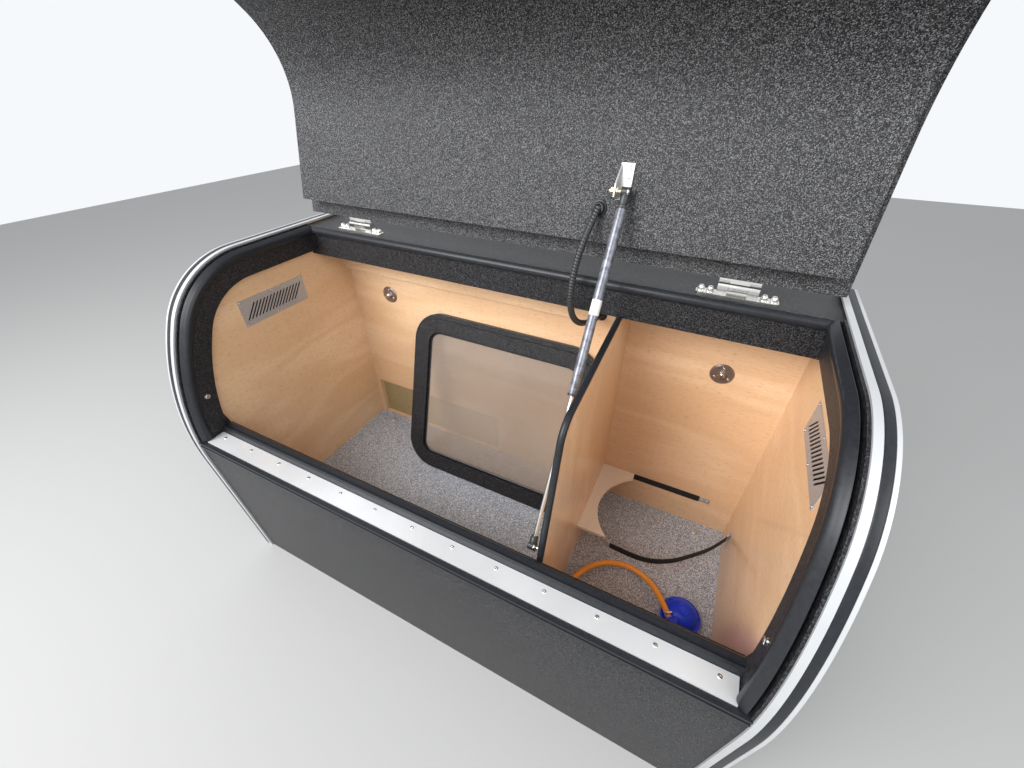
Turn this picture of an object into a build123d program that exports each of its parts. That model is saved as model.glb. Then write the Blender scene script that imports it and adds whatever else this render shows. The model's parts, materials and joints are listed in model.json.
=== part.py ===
from build123d import *
from math import asin, atan2, cos, degrees, hypot, pi, radians, sin, sqrt, tan
import os

# Front storage locker of a teardrop trailer, its lid propped open on a gas strut.
# X runs across the trailer, -Y is the direction of travel, +Z is up, and lengths are millimetres.
# The origin is under the middle of the box, in the plane that it stands on.

os.makedirs("parts", exist_ok=True)

# Overall size, and the rounded nose that the side walls, trims, gutters and lid all follow
inner_width = 1250.0
wall_thickness = 20.0
box_depth = 620.0
roof_z = 874.0
crown_radius = 220.0
bow_radius = 654.0
bow_z = 446.0
skirt_lean = 3.3

# Box panels
back_thickness = 20.0
floor_z = 125.0
floor_thickness = 20.0
apron_thickness = 17.0
liner_thickness = 9.0

# Edge trims
trim_cap = 4.0
trim_overlap = 6.0
trim_skirt = 22.0
trim_skirt_thickness = 2.0

# Opening
opening_inset = 71.0
upstand_x = 602.0
upstand_inset = 20.0

# Hinge rail
rail_depth = 138.0
rail_top = 866.0
rail_bottom = 789.0
rail_wall = 4.0

# Sill
sill_z = 472.0
sill_beam_low = 440.0
sill_depth = 85.0

# Lid
open_angle = 102.8
pin_from_wall = 85.0
pin_z = 880.0
lid_skin = 5.0
lid_thickness = 45.0

# Partition
partition_x = 248.0
partition_thickness = 9.0

# Places that follow from those sizes
back_y = box_depth / 2
wall_y = back_y - back_thickness
nose_y = -box_depth / 2
beam_inner = nose_y + sill_depth
inner_x = inner_width / 2
side_x = inner_x + wall_thickness
bow_y = nose_y + bow_radius
crown_z = roof_z - crown_radius
crown_y = bow_y - sqrt((bow_radius - crown_radius) ** 2 - (crown_z - bow_z) ** 2)
join_angle = degrees(atan2(crown_z - bow_z, crown_y - bow_y))
pin_y = wall_y - pin_from_wall
rail_front = back_y - rail_depth


def bow_at(inset, z):
    """Y of the nose outline, set in by an inset, at a height on its bow."""
    return bow_y - sqrt((bow_radius - inset) ** 2 - (z - bow_z) ** 2)


def nose_region(inset, rear, low, high):
    """The box in side view, set in by an inset, from a rear plane forward and between two heights."""
    roof = roof_z - inset
    with BuildSketch() as region:
        with BuildLine():
            Line((back_y, roof), (crown_y, roof))
            CenterArc((crown_y, crown_z), crown_radius - inset, 90, join_angle - 90)
            front = CenterArc((bow_y, bow_z), bow_radius - inset, join_angle, 180 + skirt_lean - join_angle)
            heel = front @ 1
            toe = (heel.X + heel.Y * tan(radians(skirt_lean)), 0)
            Polyline(heel, toe, (back_y, 0), (back_y, roof))
        make_face()
        with Locations((rear - box_depth / 2, (low + high) / 2)):
            Rectangle(box_depth, high - low, mode=Mode.INTERSECT)
    return region.sketch


def nose_band(outer, inner, rear, low, high):
    """The part of the side view that lies between two insets."""
    add(nose_region(outer, rear, low, high))
    add(nose_region(inner, rear, low, high), mode=Mode.SUBTRACT)


def across(x):
    """The side-view plane at a station across the box: its axes are Y and Z."""
    return Plane.YZ.offset(x)


def facing_front(y):
    """A plane that looks forward from a station along the box: its axes are X and Z."""
    return Plane.XZ.offset(-y)


def write(piece, label):
    piece.part.label = label
    export_step(piece.part, "parts/" + label + ".step")


# Floor panel, on two bearers that the drawbar bolts to
with BuildPart() as floor_panel:
    with BuildSketch(across(-inner_x)):
        add(nose_region(trim_cap + apron_thickness, wall_y, floor_z - floor_thickness, floor_z))
    extrude(amount=inner_width)
write(floor_panel, "floor_panel")

bearer_width = 60.0
bearer_from_rear = 90.0
bearer_from_front = 190.0
bearer_hole = 5.5
bearer_hole_span = 760.0
for side, bearer_y in (("rear", wall_y - bearer_from_rear), ("front", nose_y + bearer_from_front)):
    with BuildPart() as bearer:
        with BuildSketch():
            with Locations((0, bearer_y)):
                Rectangle(inner_width, bearer_width)
            with Locations((-bearer_hole_span / 2, bearer_y), (bearer_hole_span / 2, bearer_y)):
                Circle(bearer_hole, mode=Mode.SUBTRACT)
        extrude(amount=floor_z - floor_thickness)
    write(bearer, "bearer_" + side)

# Back wall, with the hatch recess and the holes for the two bolts that hold it to the cabin
rosette_x = 480.0
rosette_z = 643.0
rosette_hole = 5.5
hatch_left = -610.0
hatch_right = -110.0
hatch_height = 150.0
hatch_thickness = 6.0
hatch_middle = ((hatch_left + hatch_right) / 2, floor_z + hatch_height / 2)
with BuildPart() as back_wall:
    with BuildSketch(facing_front(back_y)):
        with Locations((0, rail_bottom / 2)):
            Rectangle(inner_width, rail_bottom)
        with Locations(hatch_middle):
            Rectangle(hatch_right - hatch_left, hatch_height, mode=Mode.SUBTRACT)
        with Locations((-rosette_x, rosette_z), (rosette_x, rosette_z)):
            Circle(rosette_hole, mode=Mode.SUBTRACT)
    extrude(amount=back_thickness)
write(back_wall, "back_wall")

with BuildPart() as hatch_panel:
    with BuildSketch(facing_front(back_y)):
        with Locations(hatch_middle):
            Rectangle(hatch_right - hatch_left, hatch_height)
    extrude(amount=hatch_thickness)
write(hatch_panel, "hatch_panel")

# Apron: the curved lower front, lined with plywood inside
strip_height = 15.0
plate_thickness = 3.0
beam_top = sill_z - plate_thickness
strip_low = beam_top - strip_height
apron_inset = trim_cap + apron_thickness
liner_inset = apron_inset + liner_thickness
with BuildPart() as apron:
    with BuildSketch(across(-inner_x)):
        nose_band(trim_cap, apron_inset, wall_y, 0, strip_low)
    extrude(amount=inner_width)
write(apron, "apron")

with BuildPart() as front_liner:
    with BuildSketch(across(-inner_x)):
        nose_band(apron_inset, liner_inset, wall_y, floor_z, sill_beam_low)
    extrude(amount=inner_width)
write(front_liner, "front_liner")

# Sill: a beam with an upstand for its seal, the bright tread plate and the ribbed strip in front
upstand_height = 11.0
upstand_thickness = 4.0
with BuildPart() as sill_beam:
    with BuildSketch(across(-inner_x)):
        add(nose_region(apron_inset, beam_inner, sill_beam_low, beam_top))
    extrude(amount=inner_width)
    with BuildSketch(across(-upstand_x)):
        with Locations((beam_inner - upstand_thickness / 2, beam_top + upstand_height / 2)):
            Rectangle(upstand_thickness, upstand_height)
    extrude(amount=2 * upstand_x)
write(sill_beam, "sill_beam")

plate_from_side = 27.0
plate_from_nose = 13.0
plate_width = 41.0
plate_half = inner_x - plate_from_side
with BuildPart() as sill_plate:
    with BuildSketch(across(-plate_half)):
        with Locations((nose_y + plate_from_nose + plate_width / 2, beam_top + plate_thickness / 2)):
            Rectangle(plate_width, plate_thickness)
    extrude(amount=2 * plate_half)
write(sill_plate, "sill_plate")

strip_rib = 4.0
strip_rib_proud = 2.0
with BuildPart() as sill_strip:
    with BuildSketch(across(-inner_x)):
        nose_band(trim_cap, apron_inset, wall_y, strip_low, beam_top)
    extrude(amount=inner_width)
    with BuildSketch(across(trim_overlap - inner_x)):
        for low in (strip_low, beam_top - strip_rib):
            nose_band(trim_cap - strip_rib_proud, trim_cap, wall_y, low, low + strip_rib)
    extrude(amount=inner_width - 2 * trim_overlap)
write(sill_strip, "sill_strip")

# Hinge rail: a hollow beam across the back, with a plywood cleat below it in the wide compartment
with BuildPart() as hinge_rail:
    with BuildSketch(across(-inner_x)):
        with Locations(((rail_front + back_y) / 2, (rail_bottom + rail_top) / 2)):
            Rectangle(rail_depth, rail_top - rail_bottom)
            Rectangle(rail_depth - 2 * rail_wall, rail_top - rail_bottom - 2 * rail_wall, mode=Mode.SUBTRACT)
    extrude(amount=inner_width)
write(hinge_rail, "hinge_rail")

cleat_height = 78.0
cleat_thickness = 20.0
cleat_right = 232.0
with BuildPart() as cleat:
    with BuildSketch(facing_front(wall_y)):
        with Locations(((cleat_right - inner_x) / 2, rail_bottom - cleat_height / 2)):
            Rectangle(cleat_right + inner_x, cleat_height)
    extrude(amount=cleat_thickness)
write(cleat, "cleat")

# Partition between the wide compartment and the gas compartment, with rubber edging on its free edge
edge_set_in = 4.0
edge_from_sill = 10.0
edge_corner_from_nose = 168.0
edge_corner_z = 741.0
edge_radius = 55.0
edge_start = (rail_front - edge_set_in, rail_bottom)
edge_corner = (nose_y + edge_corner_from_nose, edge_corner_z)
edge_end = (beam_inner + edge_from_sill, sill_beam_low)
liner_top_y = bow_at(liner_inset, sill_beam_low)
with BuildPart() as partition:
    with BuildSketch(across(partition_x)):
        with BuildLine():
            edge = FilletPolyline(edge_start, edge_corner, edge_end, radius=edge_radius)
            Polyline(
                edge @ 1,
                (liner_top_y, sill_beam_low),
                (nose_y, sill_beam_low),
                (nose_y, floor_z),
                (wall_y, floor_z),
                (wall_y, rail_bottom),
                edge @ 0,
            )
        make_face()
        add(nose_region(liner_inset, wall_y, floor_z, rail_bottom), mode=Mode.INTERSECT)
    extrude(amount=partition_thickness)
write(partition, "partition")

edging_wall = 2.0
partition_middle = partition_x + partition_thickness / 2
with BuildPart() as partition_edging:
    with BuildLine(across(partition_middle)) as edging_path:
        FilletPolyline(edge_start, edge_corner, edge_end, radius=edge_radius)
    start = edging_path.line @ 0
    with BuildSketch(Plane(origin=start, x_dir=(1, 0, 0), z_dir=edging_path.line % 0)):
        Circle(partition_thickness / 2 + edging_wall)
    sweep()
    add(partition.part, mode=Mode.SUBTRACT)
write(partition_edging, "partition_edging")

# Side walls, with the openings that the vents cover
vent_from_wall = 275.0
vent_y = wall_y - vent_from_wall
vent_z = 711.0
vent_length = 195.0
vent_height = 68.0
vent_margin = 10.0
vent_thickness = 1.5
for side, sign in (("left", -1), ("right", 1)):
    wall_low_x = inner_x if sign > 0 else -side_x
    with BuildPart() as side_wall:
        with BuildSketch(across(wall_low_x)):
            add(nose_region(trim_cap, back_y, 0, roof_z))
            with Locations((vent_y, vent_z)):
                Rectangle(vent_length - 2 * vent_margin, vent_height - 2 * vent_margin, mode=Mode.SUBTRACT)
        extrude(amount=wall_thickness)
    write(side_wall, "side_wall_" + side)

# Edge trims: an aluminium cap with a skirt outside, and the rubber insert that covers its screws
insert_inner = 4.5
insert_width = 12.5
insert_depth = 1.6
trim_width = trim_overlap + wall_thickness + trim_skirt_thickness
for side, sign in (("left", -1), ("right", 1)):
    trim_inner = sign * (inner_x - trim_overlap)
    with BuildPart() as side_trim:
        with BuildSketch(across(trim_inner)):
            nose_band(0, trim_cap, back_y, 0, roof_z)
        extrude(amount=sign * trim_width)
        with BuildSketch(across(sign * side_x)):
            nose_band(0, trim_skirt, back_y, 0, roof_z)
        extrude(amount=sign * trim_skirt_thickness)
        with BuildSketch(across(sign * (inner_x + insert_inner))):
            nose_band(0, insert_depth, back_y, 0, roof_z)
        extrude(amount=sign * insert_width, mode=Mode.SUBTRACT)
    write(side_trim, "side_trim_" + side)
    with BuildPart() as trim_insert:
        with BuildSketch(across(sign * (inner_x + insert_inner))):
            nose_band(0, insert_depth, back_y, 0, roof_z)
        extrude(amount=sign * insert_width)
    write(trim_insert, "trim_insert_" + side)

# Gutters: channels beside the opening, each with an inner upstand that carries the side seal
gutter_floor = 4.0
gutter_leg = 10.5
gusset_height = 43.0
gusset_top = sill_z + gusset_height
for side, sign in (("left", -1), ("right", 1)):
    with BuildPart() as gutter:
        with BuildSketch(across(sign * upstand_x)):
            nose_band(opening_inset - gutter_floor, opening_inset, rail_front, beam_top, roof_z)
            with BuildLine():
                Polyline(
                    (bow_at(opening_inset, gusset_top), gusset_top),
                    (beam_inner, beam_top),
                    (bow_at(opening_inset - gutter_floor, beam_top), beam_top),
                    close=True,
                )
            make_face()
        extrude(amount=sign * (inner_x - upstand_x))
        with BuildSketch(across(sign * upstand_x)):
            nose_band(upstand_inset, opening_inset, rail_front, beam_top, roof_z)
        extrude(amount=sign * upstand_thickness)
        with BuildSketch(across(sign * (inner_x - gutter_leg))):
            nose_band(trim_cap, opening_inset, rail_front, beam_top, roof_z)
        extrude(amount=sign * gutter_leg)
    write(gutter, "gutter_" + side)

# Seals: a soft hooked lip on each gutter's upstand, on the rail's front edge and on the sill
seal_reach = 7.6
seal_wall = 3.0
seal_crest_inset = 5.5
seal_ridge_inset = 11.0
seal_cheek_inset = 16.0
seal_cheek = 9.0
seal_low_inset = 28.0
seal_ridge = 1.5
seal_low = sill_z + 3.0
cheek_x = upstand_x - seal_reach
seal_outer_x = upstand_x + upstand_thickness + seal_wall
side_seal_profile = [
    (seal_outer_x, seal_crest_inset),
    (upstand_x - seal_ridge, seal_ridge_inset),
    (cheek_x, seal_cheek_inset),
    (cheek_x, seal_cheek_inset + seal_cheek),
    (upstand_x - seal_wall, seal_low_inset),
    (seal_outer_x, seal_low_inset),
]
for side, sign in (("left", -1), ("right", 1)):
    with BuildPart() as side_seal:
        with BuildLine(across(sign * upstand_x)) as seal_path:
            Line((rail_front, roof_z - upstand_inset), (crown_y, roof_z - upstand_inset))
            CenterArc((crown_y, crown_z), crown_radius - upstand_inset, 90, join_angle - 90)
            sill_turn = degrees(atan2(seal_low - bow_z, bow_at(upstand_inset, seal_low) - bow_y))
            CenterArc((bow_y, bow_z), bow_radius - upstand_inset, join_angle, sill_turn - join_angle)
        with BuildSketch(Plane(origin=seal_path.line @ 0, x_dir=(1, 0, 0), z_dir=seal_path.line % 0)):
            with BuildLine():
                corners = [(sign * (x - upstand_x), upstand_inset - inset) for x, inset in side_seal_profile]
                Polyline(*corners, close=True)
            make_face()
        sweep()
        with BuildSketch(across(sign * upstand_x)):
            nose_band(upstand_inset, opening_inset, back_y, 0, roof_z)
        extrude(amount=sign * upstand_thickness, mode=Mode.SUBTRACT)
        with BuildSketch(Plane.XY.offset(rail_bottom)):
            with BuildLine():
                Polyline(
                    (sign * cheek_x, rail_front - seal_reach),
                    (sign * upstand_x, rail_front),
                    (sign * cheek_x, rail_front),
                    close=True,
                )
            make_face()
        extrude(amount=roof_z - rail_bottom, mode=Mode.SUBTRACT)
    write(side_seal, "side_seal_" + side)

rail_seal_top = 865.0
rail_seal_ridge = 862.0
rail_seal_cheek = roof_z - seal_cheek_inset
rail_seal_low = 847.0
with BuildPart() as rail_seal:
    with BuildSketch(across(-upstand_x)):
        with BuildLine():
            Polyline(
                (rail_front, rail_seal_top),
                (rail_front - seal_reach / 2, rail_seal_ridge),
                (rail_front - seal_reach, rail_seal_cheek),
                (rail_front - seal_reach, rail_seal_low),
                (rail_front, rail_seal_low),
                close=True,
            )
        make_face()
    extrude(amount=2 * upstand_x)
    with BuildSketch(Plane.XY.offset(rail_seal_low)):
        with BuildLine():
            Polyline(
                (-upstand_x, rail_front),
                (upstand_x, rail_front),
                (cheek_x, rail_front - seal_reach),
                (-cheek_x, rail_front - seal_reach),
                close=True,
            )
        make_face()
    extrude(amount=rail_seal_top - rail_seal_low, mode=Mode.INTERSECT)
write(rail_seal, "rail_seal")

sill_seal_profile = [
    (4, 0), (4, 15), (8, 18), (15, 18), (17, 12), (20, 12), (22, 16), (27, 14), (30, 5), (30, 0),
]
with BuildPart() as sill_seal:
    with BuildSketch(across(-upstand_x)):
        with BuildLine():
            Polyline(*[(beam_inner - out, beam_top + up) for out, up in sill_seal_profile], close=True)
        make_face()
    extrude(amount=2 * upstand_x)
    add(sill_beam.part, mode=Mode.SUBTRACT)
write(sill_seal, "sill_seal")

# Lid: everything on it is drawn shut and stands on a plane that is turned about the hinge pins
lid_turn = radians(-open_angle)
lid_origin = (
    pin_y - pin_y * cos(lid_turn) + pin_z * sin(lid_turn),
    pin_z - pin_y * sin(lid_turn) - pin_z * cos(lid_turn),
)


def on_lid(x):
    """The side-view plane of the open lid: drawn in the shut lid's Y and Z."""
    return Plane(origin=(x, *lid_origin), x_dir=(0, cos(lid_turn), sin(lid_turn)), z_dir=(1, 0, 0))


lid_half = 610.0
plug_half = 594.0
lip_from_pin = 15.0
plug_from_pin = 47.0
lid_low = 475.0
plug_low = 491.0
with BuildPart() as lid_panel:
    with BuildSketch(on_lid(-lid_half)):
        nose_band(0, lid_skin, pin_y - lip_from_pin, lid_low, roof_z)
    extrude(amount=2 * lid_half)
    with BuildSketch(on_lid(-plug_half)):
        nose_band(lid_skin, lid_thickness, pin_y - plug_from_pin, plug_low, roof_z)
    extrude(amount=2 * plug_half)
write(lid_panel, "lid_panel")

# Hinges: two bolted feet and two knuckles on the rail, and a leaf on the lid with the middle knuckle
hinge_x = 450.0
knuckle_radius = 9.0
pin_radius = 3.0
pin_clearance = 0.05
hinge_length = 70.0
middle_length = 34.0
knuckle_gap = 0.4
foot_thickness = 2.5
foot_depth = 24.0
foot_from_pin = 8.0
base_length = 140.0
leaf_thickness = 3.5
leaf_reach = 55.0
leaf_from_pin = 10.5
for side, sign in (("left", -1), ("right", 1)):
    x = sign * hinge_x
    with BuildPart() as hinge_base:
        with BuildSketch(Plane.XY.offset(rail_top)):
            with Locations((x, pin_y - foot_from_pin)):
                RectangleRounded(base_length, foot_depth, 8)
        extrude(amount=foot_thickness)
        with BuildSketch(across(x - hinge_length / 2)):
            with Locations((pin_y, pin_z)):
                Circle(knuckle_radius)
            with Locations((pin_y, (rail_top + pin_z) / 2)):
                Rectangle(2 * knuckle_radius, pin_z - rail_top)
        extrude(amount=hinge_length)
        with BuildSketch(across(x - middle_length / 2)):
            with Locations((pin_y, pin_z)):
                Rectangle(4 * knuckle_radius, 2 * (pin_z - rail_top - foot_thickness), mode=Mode.ADD)
        extrude(amount=middle_length, mode=Mode.SUBTRACT)
        with BuildSketch(across(x - hinge_length / 2)):
            with Locations((pin_y, pin_z)):
                Circle(pin_radius)
        extrude(amount=hinge_length)
    write(hinge_base, "hinge_base_" + side)
    with BuildPart() as hinge_leaf:
        with BuildSketch(on_lid(x - middle_length / 2 + knuckle_gap)):
            with Locations((pin_y, pin_z)):
                Circle(knuckle_radius)
            with Locations((pin_y - leaf_from_pin / 2, roof_z + leaf_thickness / 2)):
                Rectangle(leaf_from_pin, leaf_thickness)
        extrude(amount=middle_length - 2 * knuckle_gap)
        with BuildSketch(on_lid(x - hinge_length / 2)):
            with Locations((pin_y - leaf_from_pin - leaf_reach / 2, roof_z + leaf_thickness / 2)):
                Rectangle(leaf_reach, leaf_thickness)
        extrude(amount=hinge_length)
        with BuildSketch(on_lid(x - middle_length / 2)):
            with Locations((pin_y, pin_z)):
                Circle(pin_radius + pin_clearance)
        extrude(amount=middle_length, mode=Mode.SUBTRACT)
    write(hinge_leaf, "hinge_leaf_" + side)

# Vents: a slotted plate on each face of both side walls, its slots leaning the same way from its own front
vent_slots = 15
vent_pitch = 10.2
vent_slot_width = 4.0
vent_slot_length = 50.0
vent_slant = 52.0
for side, sign in (("left", -1), ("right", 1)):
    with BuildPart() as vent:
        inside = (sign * (inner_x - vent_thickness), -sign * vent_slant)
        outside = (sign * side_x, sign * vent_slant)
        for face_x, slant in (inside, outside):
            with BuildSketch(across(face_x)):
                with Locations((vent_y, vent_z)):
                    Rectangle(vent_length, vent_height)
                    with GridLocations(vent_pitch, vent_pitch, vent_slots, 1):
                        SlotOverall(vent_slot_length, vent_slot_width, slant, mode=Mode.SUBTRACT)
            extrude(amount=sign * vent_thickness)
    write(vent, "vent_" + side)

# Rosettes: dished washers for the two bolts that hold the box to the cabin
rosette_radius = 26.0
rosette_thickness = 4.0
rosette_bevel = 3.0
with BuildPart() as wall_rosettes:
    with BuildSketch(facing_front(wall_y)):
        with Locations((-rosette_x, rosette_z), (rosette_x, rosette_z)):
            Circle(rosette_radius)
            Circle(rosette_hole, mode=Mode.SUBTRACT)
    extrude(amount=rosette_thickness)
    fronts = wall_rosettes.faces().sort_by(Axis.Y)[:2]
    rims = fronts.edges().filter_by(lambda rim: rim.radius > rosette_hole + rosette_bevel)
    chamfer(rims, rosette_bevel)
write(wall_rosettes, "wall_rosettes")

# Window: a framed pane that stands on the floor and leans on the back wall
window_left = -368.0
window_right = 214.0
window_height = 520.0
window_corner = 90.0
window_thickness = 22.0
window_border = 54.0
window_rim = 14.0
window_step = 5.0
window_foot = 175.0
pane_thickness = 4.0
pane_grip = 8.0
seat_gap = 0.2
window_width = window_right - window_left
window_middle = ((window_left + window_right) / 2, window_height / 2)
window_diagonal = hypot(window_height, window_thickness)
lean = asin((window_foot - seat_gap) / window_diagonal) - atan2(window_thickness, window_height)
window_heel = floor_z + seat_gap + window_thickness * sin(lean)
window_base = (0, wall_y - window_foot, window_heel)
window_face = Plane(origin=window_base, x_dir=(1, 0, 0), z_dir=(0, -cos(lean), sin(lean)))
with BuildPart() as window_pane:
    with BuildSketch(window_face.offset((pane_thickness - window_thickness) / 2)):
        with Locations(window_middle):
            cut = window_border - pane_grip
            RectangleRounded(window_width - 2 * cut, window_height - 2 * cut, window_corner - cut)
    extrude(amount=-pane_thickness)
write(window_pane, "window_pane")

with BuildPart() as window_frame:
    with BuildSketch(window_face):
        with Locations(window_middle):
            RectangleRounded(window_width, window_height, window_corner)
            width, height = window_width - 2 * window_border, window_height - 2 * window_border
            RectangleRounded(width, height, window_corner - window_border, mode=Mode.SUBTRACT)
    extrude(amount=-window_thickness)
    with BuildSketch(window_face):
        with Locations(window_middle):
            RectangleRounded(window_width, window_height, window_corner)
            width, height = window_width - 2 * window_rim, window_height - 2 * window_rim
            RectangleRounded(width, height, window_corner - window_rim, mode=Mode.SUBTRACT)
    extrude(amount=-window_step, mode=Mode.SUBTRACT)
    add(window_pane.part, mode=Mode.SUBTRACT)
write(window_frame, "window_frame")

# Bottle bracket: a shelf on the partition, cut to the gas bottle's round side
bracket_right = 350.0
bracket_depth = 243.0
bracket_top = 237.0
bottle_radius = 140.0
bottle_x = 426.0
bottle_from_wall = 138.0
bracket_left = partition_x + partition_thickness
bracket_front = wall_y - bracket_depth
bracket_low = bracket_top - partition_thickness
with BuildPart() as bottle_bracket:
    with BuildSketch(Plane.XY.offset(bracket_low)):
        with Locations(((bracket_left + bracket_right) / 2, (bracket_front + wall_y) / 2)):
            Rectangle(bracket_right - bracket_left, bracket_depth)
        with Locations((bottle_x, wall_y - bottle_from_wall)):
            Circle(bottle_radius, mode=Mode.SUBTRACT)
    extrude(amount=partition_thickness)
write(bottle_bracket, "bottle_bracket")

# Bottle straps: webbing with a riveted clip at each end that is screwed down
strap_width = 20.0
strap_thickness = 2.0
clip_thickness = 2.0
clip_length = 28.0
clip_height = 16.0
rear_strap_right = 534.0
rear_strap_z = bracket_top - strap_width / 2
front_strap_z = 216.0
wall_clip_from_wall = 84.0
with BuildPart() as strap_rear:
    with BuildSketch(facing_front(wall_y)):
        with Locations(((bracket_right + rear_strap_right) / 2, rear_strap_z)):
            Rectangle(rear_strap_right - bracket_right, strap_width)
    extrude(amount=strap_thickness)
write(strap_rear, "strap_rear")

front_strap_start = (bracket_right - clip_length / 2, bracket_front - clip_thickness - strap_thickness / 2)
front_strap_end = (inner_x - clip_thickness - strap_thickness / 2, wall_y - wall_clip_from_wall)
front_strap_bends = [(402, 252), (452, 246), (500, 222), (544, 182), (590, 136)]
front_strap_route = [front_strap_start, *[(x, wall_y - out) for x, out in front_strap_bends], front_strap_end]


def bend_radii(route):
    """The largest arc that each corner of a route has room for."""
    radii = []
    for before, corner, after in zip(route, route[1:], route[2:]):
        inward = Vector(corner) - Vector(before)
        outward = Vector(after) - Vector(corner)
        half_turn = radians(inward.get_angle(outward)) / 2
        radii.append(0.45 * min(inward.length, outward.length) / tan(half_turn))
    return radii


def report(name, radii, path, diameter, tube):
    """Prints a round cord's bends and length, and its volume as a share of section times length."""
    length = sum(edge.length for edge in path.edges())
    share = tube.part.volume / (length * pi * (diameter / 2) ** 2)
    print(name, "radii", [round(r) for r in radii], "length", round(length), "volume share", round(share, 4))


strap_radii = bend_radii(front_strap_route)
print("strap radii", [round(r) for r in strap_radii])
with BuildPart() as strap_front:
    with BuildLine(Plane.XY.offset(front_strap_z)) as strap_line:
        FilletPolyline(*front_strap_route, radius=strap_radii)
    with BuildSketch(Plane(origin=strap_line.line @ 0, x_dir=(0, 0, 1), z_dir=strap_line.line % 0)):
        Rectangle(strap_width, strap_thickness)
    sweep()
write(strap_front, "strap_front")

right_clip_length = 60.0
right_clip_drop = 12.0
left_clip_drop = 10.0
with BuildPart() as strap_clips:
    with BuildSketch(facing_front(wall_y)):
        with Locations((rear_strap_right + clip_length / 2, rear_strap_z)):
            Rectangle(clip_length, clip_height)
    extrude(amount=clip_thickness)
    with BuildSketch(facing_front(bracket_front)):
        with Locations((bracket_right - clip_length / 2, bracket_low + clip_height / 2 - left_clip_drop)):
            Rectangle(clip_length, clip_height)
    extrude(amount=clip_thickness)
    with BuildSketch(across(inner_x - clip_thickness)):
        with Locations((wall_y - wall_clip_from_wall, front_strap_z - right_clip_drop)):
            Rectangle(clip_height, right_clip_length)
    extrude(amount=clip_thickness)
write(strap_clips, "strap_clips")

# Regulator: it lies on the floor at the end of the gas hose
hose_diameter = 14.0
hose_end = (526, -40, 155)
regulator_x = 551.0
regulator_y = -12.0
disc_radius = 46.0
disc_height = 14.0
dome_radius = 38.0
dome_height = 30.0
nipple_radius = hose_diameter / 2 + 2
nipple_length = 16.0
nipple_reach = 24.0
hose_heading = Vector(0.48, -0.88, 0).normalized()
elbow = Vector(hose_end) + hose_heading * nipple_length
with BuildPart() as regulator:
    with BuildSketch(Plane.XZ.offset(-regulator_y)):
        with BuildLine():
            Polyline(
                (regulator_x, floor_z + disc_height + dome_height),
                (regulator_x, floor_z),
                (regulator_x + disc_radius, floor_z),
                (regulator_x + disc_radius, floor_z + disc_height),
                (regulator_x + dome_radius, floor_z + disc_height),
            )
            dome_middle = (regulator_x, floor_z + disc_height)
            EllipticalCenterArc(dome_middle, dome_radius, dome_height, start_angle=0, arc_size=90)
        make_face()
    revolve(axis=Axis((regulator_x, regulator_y, 0), (0, 0, 1)))
    with BuildSketch(Plane(origin=hose_end, z_dir=hose_heading)):
        Circle(nipple_radius)
    extrude(amount=nipple_length)
    with BuildSketch(Plane(origin=elbow, z_dir=Vector(regulator_x, regulator_y, elbow.Z) - elbow)):
        Circle(nipple_radius)
    extrude(amount=nipple_reach)
    with Locations(elbow):
        Sphere(nipple_radius)

# Gas hose, from its gland in the front liner to the regulator
hose_x = 285.0
hose_z = 190.0
gland_radius = 13.0
gland_length = 18.0
skirt_y = nose_y + (bow_radius - bow_radius * cos(radians(skirt_lean)))


def liner_face(z):
    """Y of the liner's inner face at a height below the bow."""
    lean_angle = radians(skirt_lean)
    return bow_y - (bow_radius - liner_inset) / cos(lean_angle) + (bow_z - z) * tan(lean_angle)


gland_y = liner_face(hose_z)
hose_route = [
    (hose_x, gland_y + gland_length, hose_z),
    (278, -160, 188),
    (282, -66, 174),
    (326, 24, 148),
    (396, 62, 136),
    (458, 46, 139),
    (500, 4, 150),
    hose_end,
]


hose_radii = bend_radii(hose_route)
with BuildPart() as gas_hose:
    with BuildLine() as hose_line:
        FilletPolyline(*hose_route, radius=hose_radii)
    with BuildSketch(Plane(origin=hose_line.line @ 0, z_dir=hose_line.line % 0)):
        Circle(hose_diameter / 2)
    sweep()
report("hose", hose_radii, hose_line, hose_diameter, gas_hose)
write(gas_hose, "gas_hose")
with regulator:
    add(gas_hose.part, mode=Mode.SUBTRACT)
write(regulator, "regulator")

with BuildPart() as hose_gland:
    with BuildSketch(facing_front(gland_y)):
        with Locations((hose_x, hose_z)):
            Circle(gland_radius)
    extrude(amount=-gland_length)
    add(front_liner.part, mode=Mode.SUBTRACT)
    add(gas_hose.part, mode=Mode.SUBTRACT)
write(hose_gland, "hose_gland")

# Lid cable: a corrugated lead from a grommet in the lid to one in the cleat
cable_diameter = 14.0
grommet_radius = 15.0
lid_grommet_height = 8.0
grommet_height = 5.0
cable_lid_x = 181.0
cable_from_pin = 107.0
cable_wall_x = 190.0
cable_wall_z = 736.0
plug_face = roof_z - lid_thickness
cleat_face = wall_y - cleat_thickness
lid_side_view = on_lid(cable_lid_x)
cable_lid_place = Vector(pin_y - cable_from_pin, plug_face - lid_grommet_height, 0)
cable_lid_end = lid_side_view.from_local_coords(cable_lid_place)
cable_route = [
    cable_lid_end,
    Vector(178, 152, 978),
    Vector(170, 138, 946),
    Vector(162, 130, 904),
    Vector(158, 125, 860),
    Vector(158, 126, 818),
    Vector(162, 142, 781),
    Vector(168, 176, 753),
    Vector(178, 220, 738),
    Vector(cable_wall_x, cleat_face - grommet_height, cable_wall_z),
]
cable_radii = bend_radii(cable_route)
with BuildPart() as lid_cable:
    with BuildLine() as cable_line:
        FilletPolyline(*cable_route, radius=cable_radii)
    with BuildSketch(Plane(origin=cable_line.line @ 0, z_dir=cable_line.line % 0)):
        Circle(cable_diameter / 2)
    sweep()
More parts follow.
